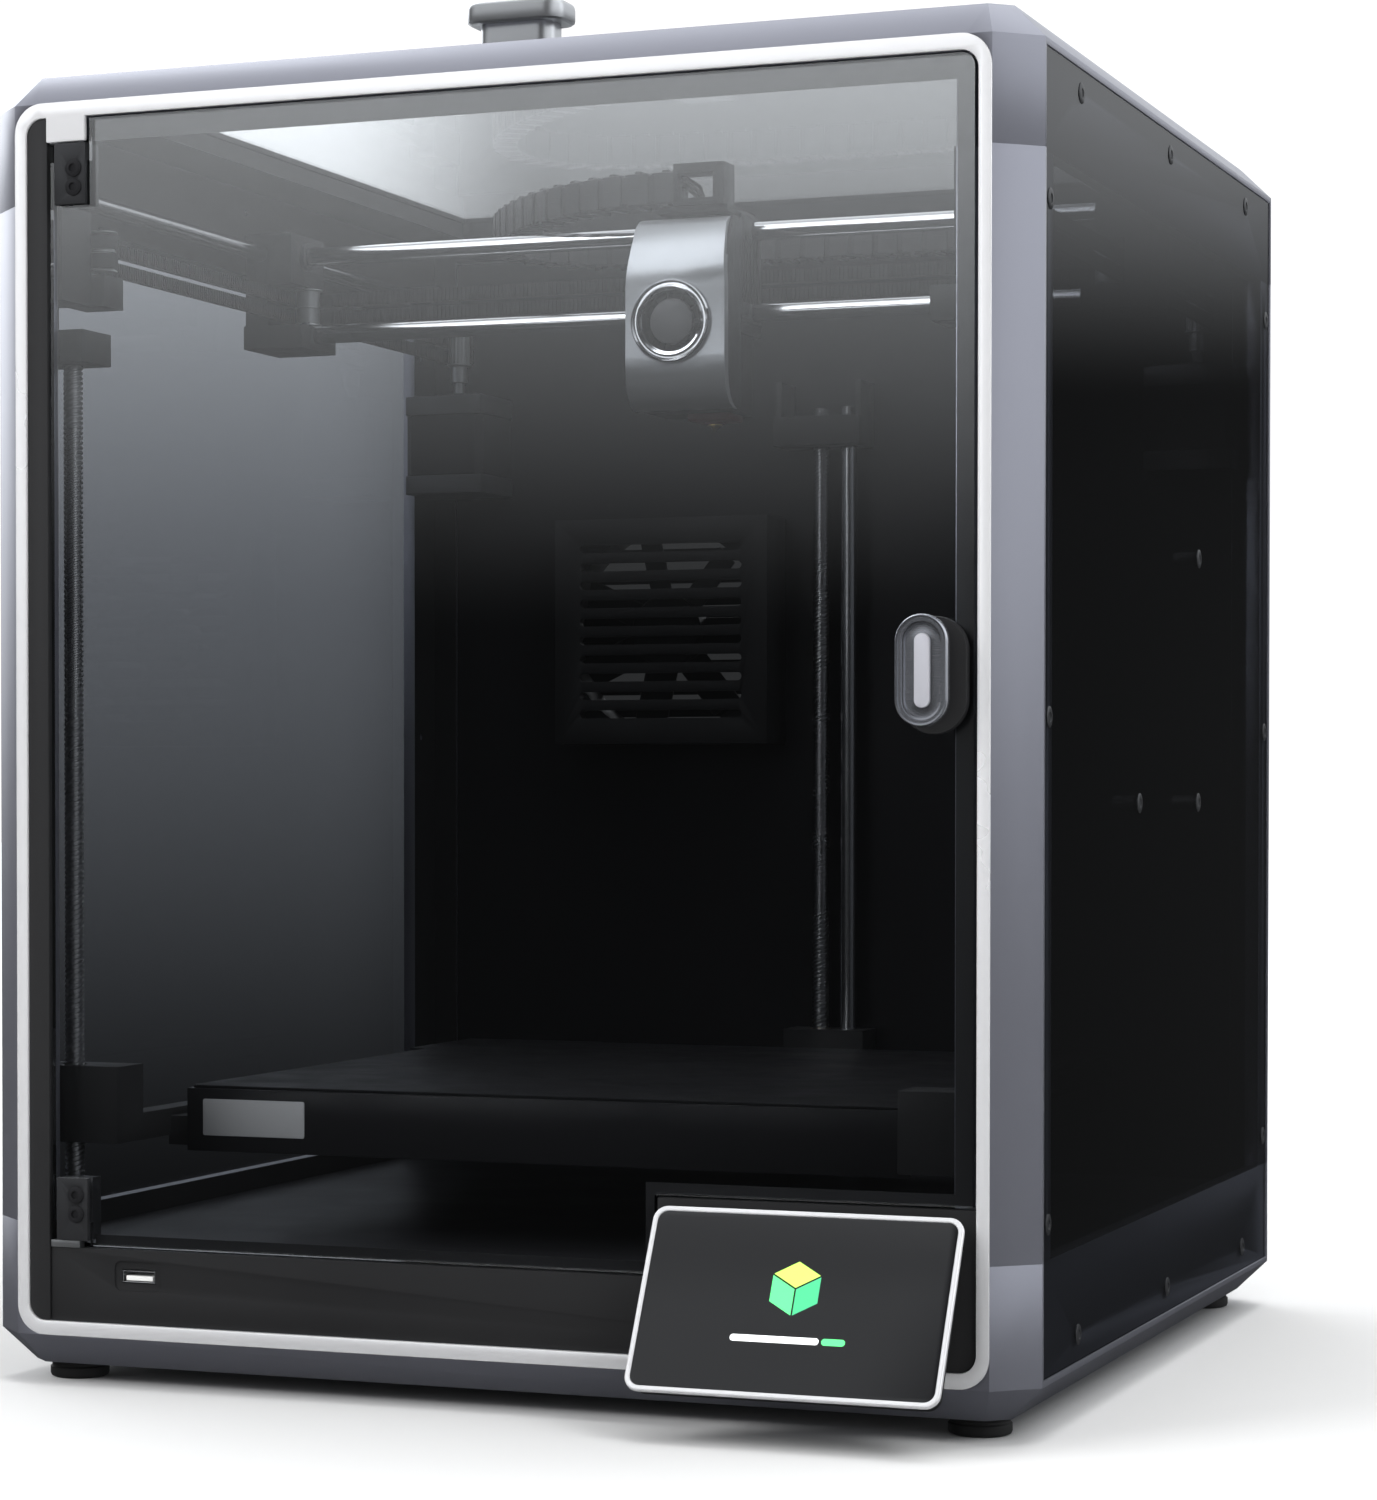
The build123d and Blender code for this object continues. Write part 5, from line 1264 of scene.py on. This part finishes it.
@dataclass
class Studio:
    """Camera, floor and soft lights."""

    eye: Place = (571.9, -1341.2, 238.7)
    yaw: float = 22.0
    pitch: float = -1.13
    focal: float = 91.546
    shift: tuple[float, float] = (0.0915, 0.0778)
    soft: float = 0.55
    dull_share: float = 0.12     # share of the front panel that dull surfaces reflect
    rise: tuple[float, float] = (0.04, 0.26)      # height of direction over which the front panel grows bright
    panel_ahead: float = 4.6
    panel_behind: float = 2.1
    panel_right: float = 0.9
    panel_over: float = 0.75     # what the lid shows
    panel_above: float = 0.8
    walls: float = 0.03

    def build(self) -> None:
        """Set up the view, the floor and the lights."""
        scene = bpy.context.scene
        lens = bpy.data.cameras.new("camera")
        lens.lens = self.focal
        lens.sensor_width = 36.0
        lens.shift_x, lens.shift_y = self.shift
        lens.clip_end = 50.0
        camera = bpy.data.objects.new("camera", lens)
        camera.location = spot(*self.eye)
        yaw, pitch = math.radians(self.yaw), math.radians(self.pitch)
        ahead = Vector((-math.sin(yaw) * math.cos(pitch), math.cos(yaw) * math.cos(pitch), math.sin(pitch)))
        camera.rotation_euler = ahead.to_track_quat("-Z", "Y").to_euler()
        scene.collection.objects.link(camera)
        scene.camera = camera
        scene.view_settings.view_transform = "Standard"
        self.floor()
        self.world()
        self.light("key_left", (-1.6, -1.9, 1.7), (0.0, 0.0, 0.3), 1.4, 40.0)
        self.light("top_soft", (0.1, 0.2, 1.9), (0.0, 0.0, 0.3), 1.5, 34.0)
        self.light("fill_right", (1.1, -0.7, 1.3), (0.2, -0.1, 0.5), 0.7, 9.0)

    def floor(self) -> None:
        """Wide white floor, which glossy and clear surfaces don't show."""
        shape = bmesh.new()
        bmesh.ops.create_grid(shape, x_segments=1, y_segments=1, size=14.0)
        mesh = bpy.data.meshes.new("studio_floor")
        shape.to_mesh(mesh)
        shape.free()
        mesh.materials.append(self.paper())
        floor = bpy.data.objects.new("studio_floor", mesh)
        floor.visible_glossy = False
        floor.visible_transmission = False
        bpy.context.scene.collection.objects.link(floor)

    def paper(self) -> bpy.types.Material:
        """White sweep with painted shade and a painted glow: its colour is a shade greyer round the machine than
        far away, and it glows more with distance so that the far floor reaches white.
        """
        material = bpy.data.materials.new("studio_white")
        material.use_nodes = True
        nodes, links = material.node_tree.nodes, material.node_tree.links
        coords, reach = nodes.new("ShaderNodeTexCoord"), nodes.new("ShaderNodeVectorMath")
        reach.operation = "LENGTH"
        links.new(coords.outputs["Object"], reach.inputs[0])
        # painted shade: the floor's colour is darker round the machine
        shade = nodes.new("ShaderNodeMapRange")
        shade.inputs["From Min"].default_value, shade.inputs["From Max"].default_value = 0.4, 1.4
        shade.inputs["To Min"].default_value, shade.inputs["To Max"].default_value = 0.74, 0.97
        links.new(reach.outputs["Value"], shade.inputs["Value"])
        links.new(shade.outputs["Result"], nodes["Principled BSDF"].inputs["Base Color"])
        # painted glow: emission that grows with distance, so the far floor reads white
        glow = nodes.new("ShaderNodeMapRange")
        glow.inputs["From Min"].default_value, glow.inputs["From Max"].default_value = 0.55, 2.2
        glow.inputs["To Min"].default_value, glow.inputs["To Max"].default_value = 0.0, 0.62
        links.new(reach.outputs["Value"], glow.inputs["Value"])
        links.new(glow.outputs["Result"], nodes["Principled BSDF"].inputs["Emission Strength"])
        nodes["Principled BSDF"].inputs["Emission Color"].default_value = (1, 1, 1, 1)
        nodes["Principled BSDF"].inputs["Roughness"].default_value = 0.8
        nodes["Principled BSDF"].inputs["Specular IOR Level"].default_value = 0.0
        return material

    def world(self) -> None:
        """White backdrop for the eye, soft light all round, and dark walls with bright panels in reflections."""
        world = bpy.data.worlds.new("studio_world")
        world.use_nodes = True
        nodes, links = world.node_tree.nodes, world.node_tree.links
        soft = nodes["Background"]
        soft.inputs["Color"].default_value = (0.98, 0.99, 1.0, 1)
        soft.inputs["Strength"].default_value = self.soft
        seen, mirrored = nodes.new("ShaderNodeBackground"), nodes.new("ShaderNodeBackground")
        seen.inputs["Color"].default_value = (1, 1, 1, 1)
        seen.inputs["Strength"].default_value = 1.1
        mirrored.inputs["Color"].default_value = (0.94, 0.97, 1.0, 1)
        coords, parts = nodes.new("ShaderNodeTexCoord"), nodes.new("ShaderNodeSeparateXYZ")
        links.new(coords.outputs["Generated"], parts.inputs["Vector"])

        def smooth(value: bpy.types.NodeSocket, low: float, high: float) -> bpy.types.NodeSocket:
            """Smooth step of a value."""
            step = nodes.new("ShaderNodeMapRange")
            step.interpolation_type = "SMOOTHSTEP"
            step.inputs["From Min"].default_value = low
            step.inputs["From Max"].default_value = high
            links.new(value, step.inputs["Value"])
            return step.outputs["Result"]

        def ramp(axis: str, low: float, high: float) -> bpy.types.NodeSocket:
            """Smooth step of one component of the direction."""
            return smooth(parts.outputs[axis], low, high)

        def reckon(kind: str, first: bpy.types.NodeSocket, second: bpy.types.NodeSocket | float) -> object:
            """Product or sum of two sockets, or of a socket and a number."""
            node = nodes.new("ShaderNodeMath")
            node.operation = kind
            links.new(first, node.inputs[0])
            if isinstance(second, float):
                node.inputs[1].default_value = second
            else:
                links.new(second, node.inputs[1])
            return node.outputs["Value"]

        rays = nodes.new("ShaderNodeLightPath")
        sharp = reckon("MULTIPLY", rays.outputs["Is Singular Ray"], 1.0 - self.dull_share)
        sharp = reckon("ADD", sharp, self.dull_share)
        ahead = reckon("MULTIPLY", reckon("MULTIPLY", ramp("Y", -0.1, -0.6), ramp("X", 0.2, -0.2)), sharp)
        behind = reckon("MULTIPLY", ramp("Y", 0.1, 0.5), ramp("X", -0.37, -0.43))
        right = ramp("X", 0.4, 0.9)
        total = reckon("MULTIPLY", reckon("MULTIPLY", ahead, self.panel_ahead), ramp("Z", *self.rise))
        over = reckon("MULTIPLY", ramp("Y", 0.1, 0.5), ramp("Z", 0.10, 0.19))
        total = reckon("ADD", total, reckon("MULTIPLY", over, self.panel_over))
        for part, level in ((behind, self.panel_behind), (right, self.panel_right)):
            lit = reckon("MULTIPLY", reckon("MULTIPLY", part, level), ramp("Z", -0.12, 0.2))
            total = reckon("ADD", total, lit)
        above = reckon("MULTIPLY", ramp("Z", 0.3, 0.9), ramp("Y", -0.5, -0.1))
        total = reckon("ADD", total, reckon("MULTIPLY", above, self.panel_above))
        total = reckon("ADD", total, reckon("MULTIPLY", right, 0.14))
        total = reckon("ADD", total, self.walls)
        links.new(total, mirrored.inputs["Strength"])
        from_eye, soft_light = nodes.new("ShaderNodeMixShader"), nodes.new("ShaderNodeMixShader")
        links.new(rays.outputs["Is Diffuse Ray"], soft_light.inputs["Fac"])
        links.new(mirrored.outputs["Background"], soft_light.inputs[1])
        links.new(soft.outputs["Background"], soft_light.inputs[2])
        links.new(rays.outputs["Is Camera Ray"], from_eye.inputs["Fac"])
        links.new(soft_light.outputs["Shader"], from_eye.inputs[1])
        links.new(seen.outputs["Background"], from_eye.inputs[2])
        links.new(from_eye.outputs["Shader"], nodes["World Output"].inputs["Surface"])
        bpy.context.scene.world = world

    def light(self, name: str, at: Place, aim: Place, size: float, power: float) -> None:
        """Square soft light, which mirrors don't show."""
        lamp = bpy.data.lights.new(name, "AREA")
        lamp.size = size
        lamp.energy = power
        made = bpy.data.objects.new(name, lamp)
        made.location = at
        made.rotation_euler = (Vector(aim) - Vector(at)).to_track_quat("-Z", "Y").to_euler()
        made.visible_glossy = False
        made.visible_transmission = False
        bpy.context.scene.collection.objects.link(made)


def main() -> None:
    """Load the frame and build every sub-assembly."""
    logging.basicConfig(level=logging.INFO)
    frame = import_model()
    Studio().build()
    Cabinet().build(frame)
    Door().build(frame)
    Lid().build(frame)
    TouchScreen().build(frame)
    Drives().build(frame)
    Gantry().build(frame)
    ToolHead().build(frame)
    Bed().build(frame)
    DragChain().build()
    RearService().build(frame)


if __name__ == "__main__":
    main()
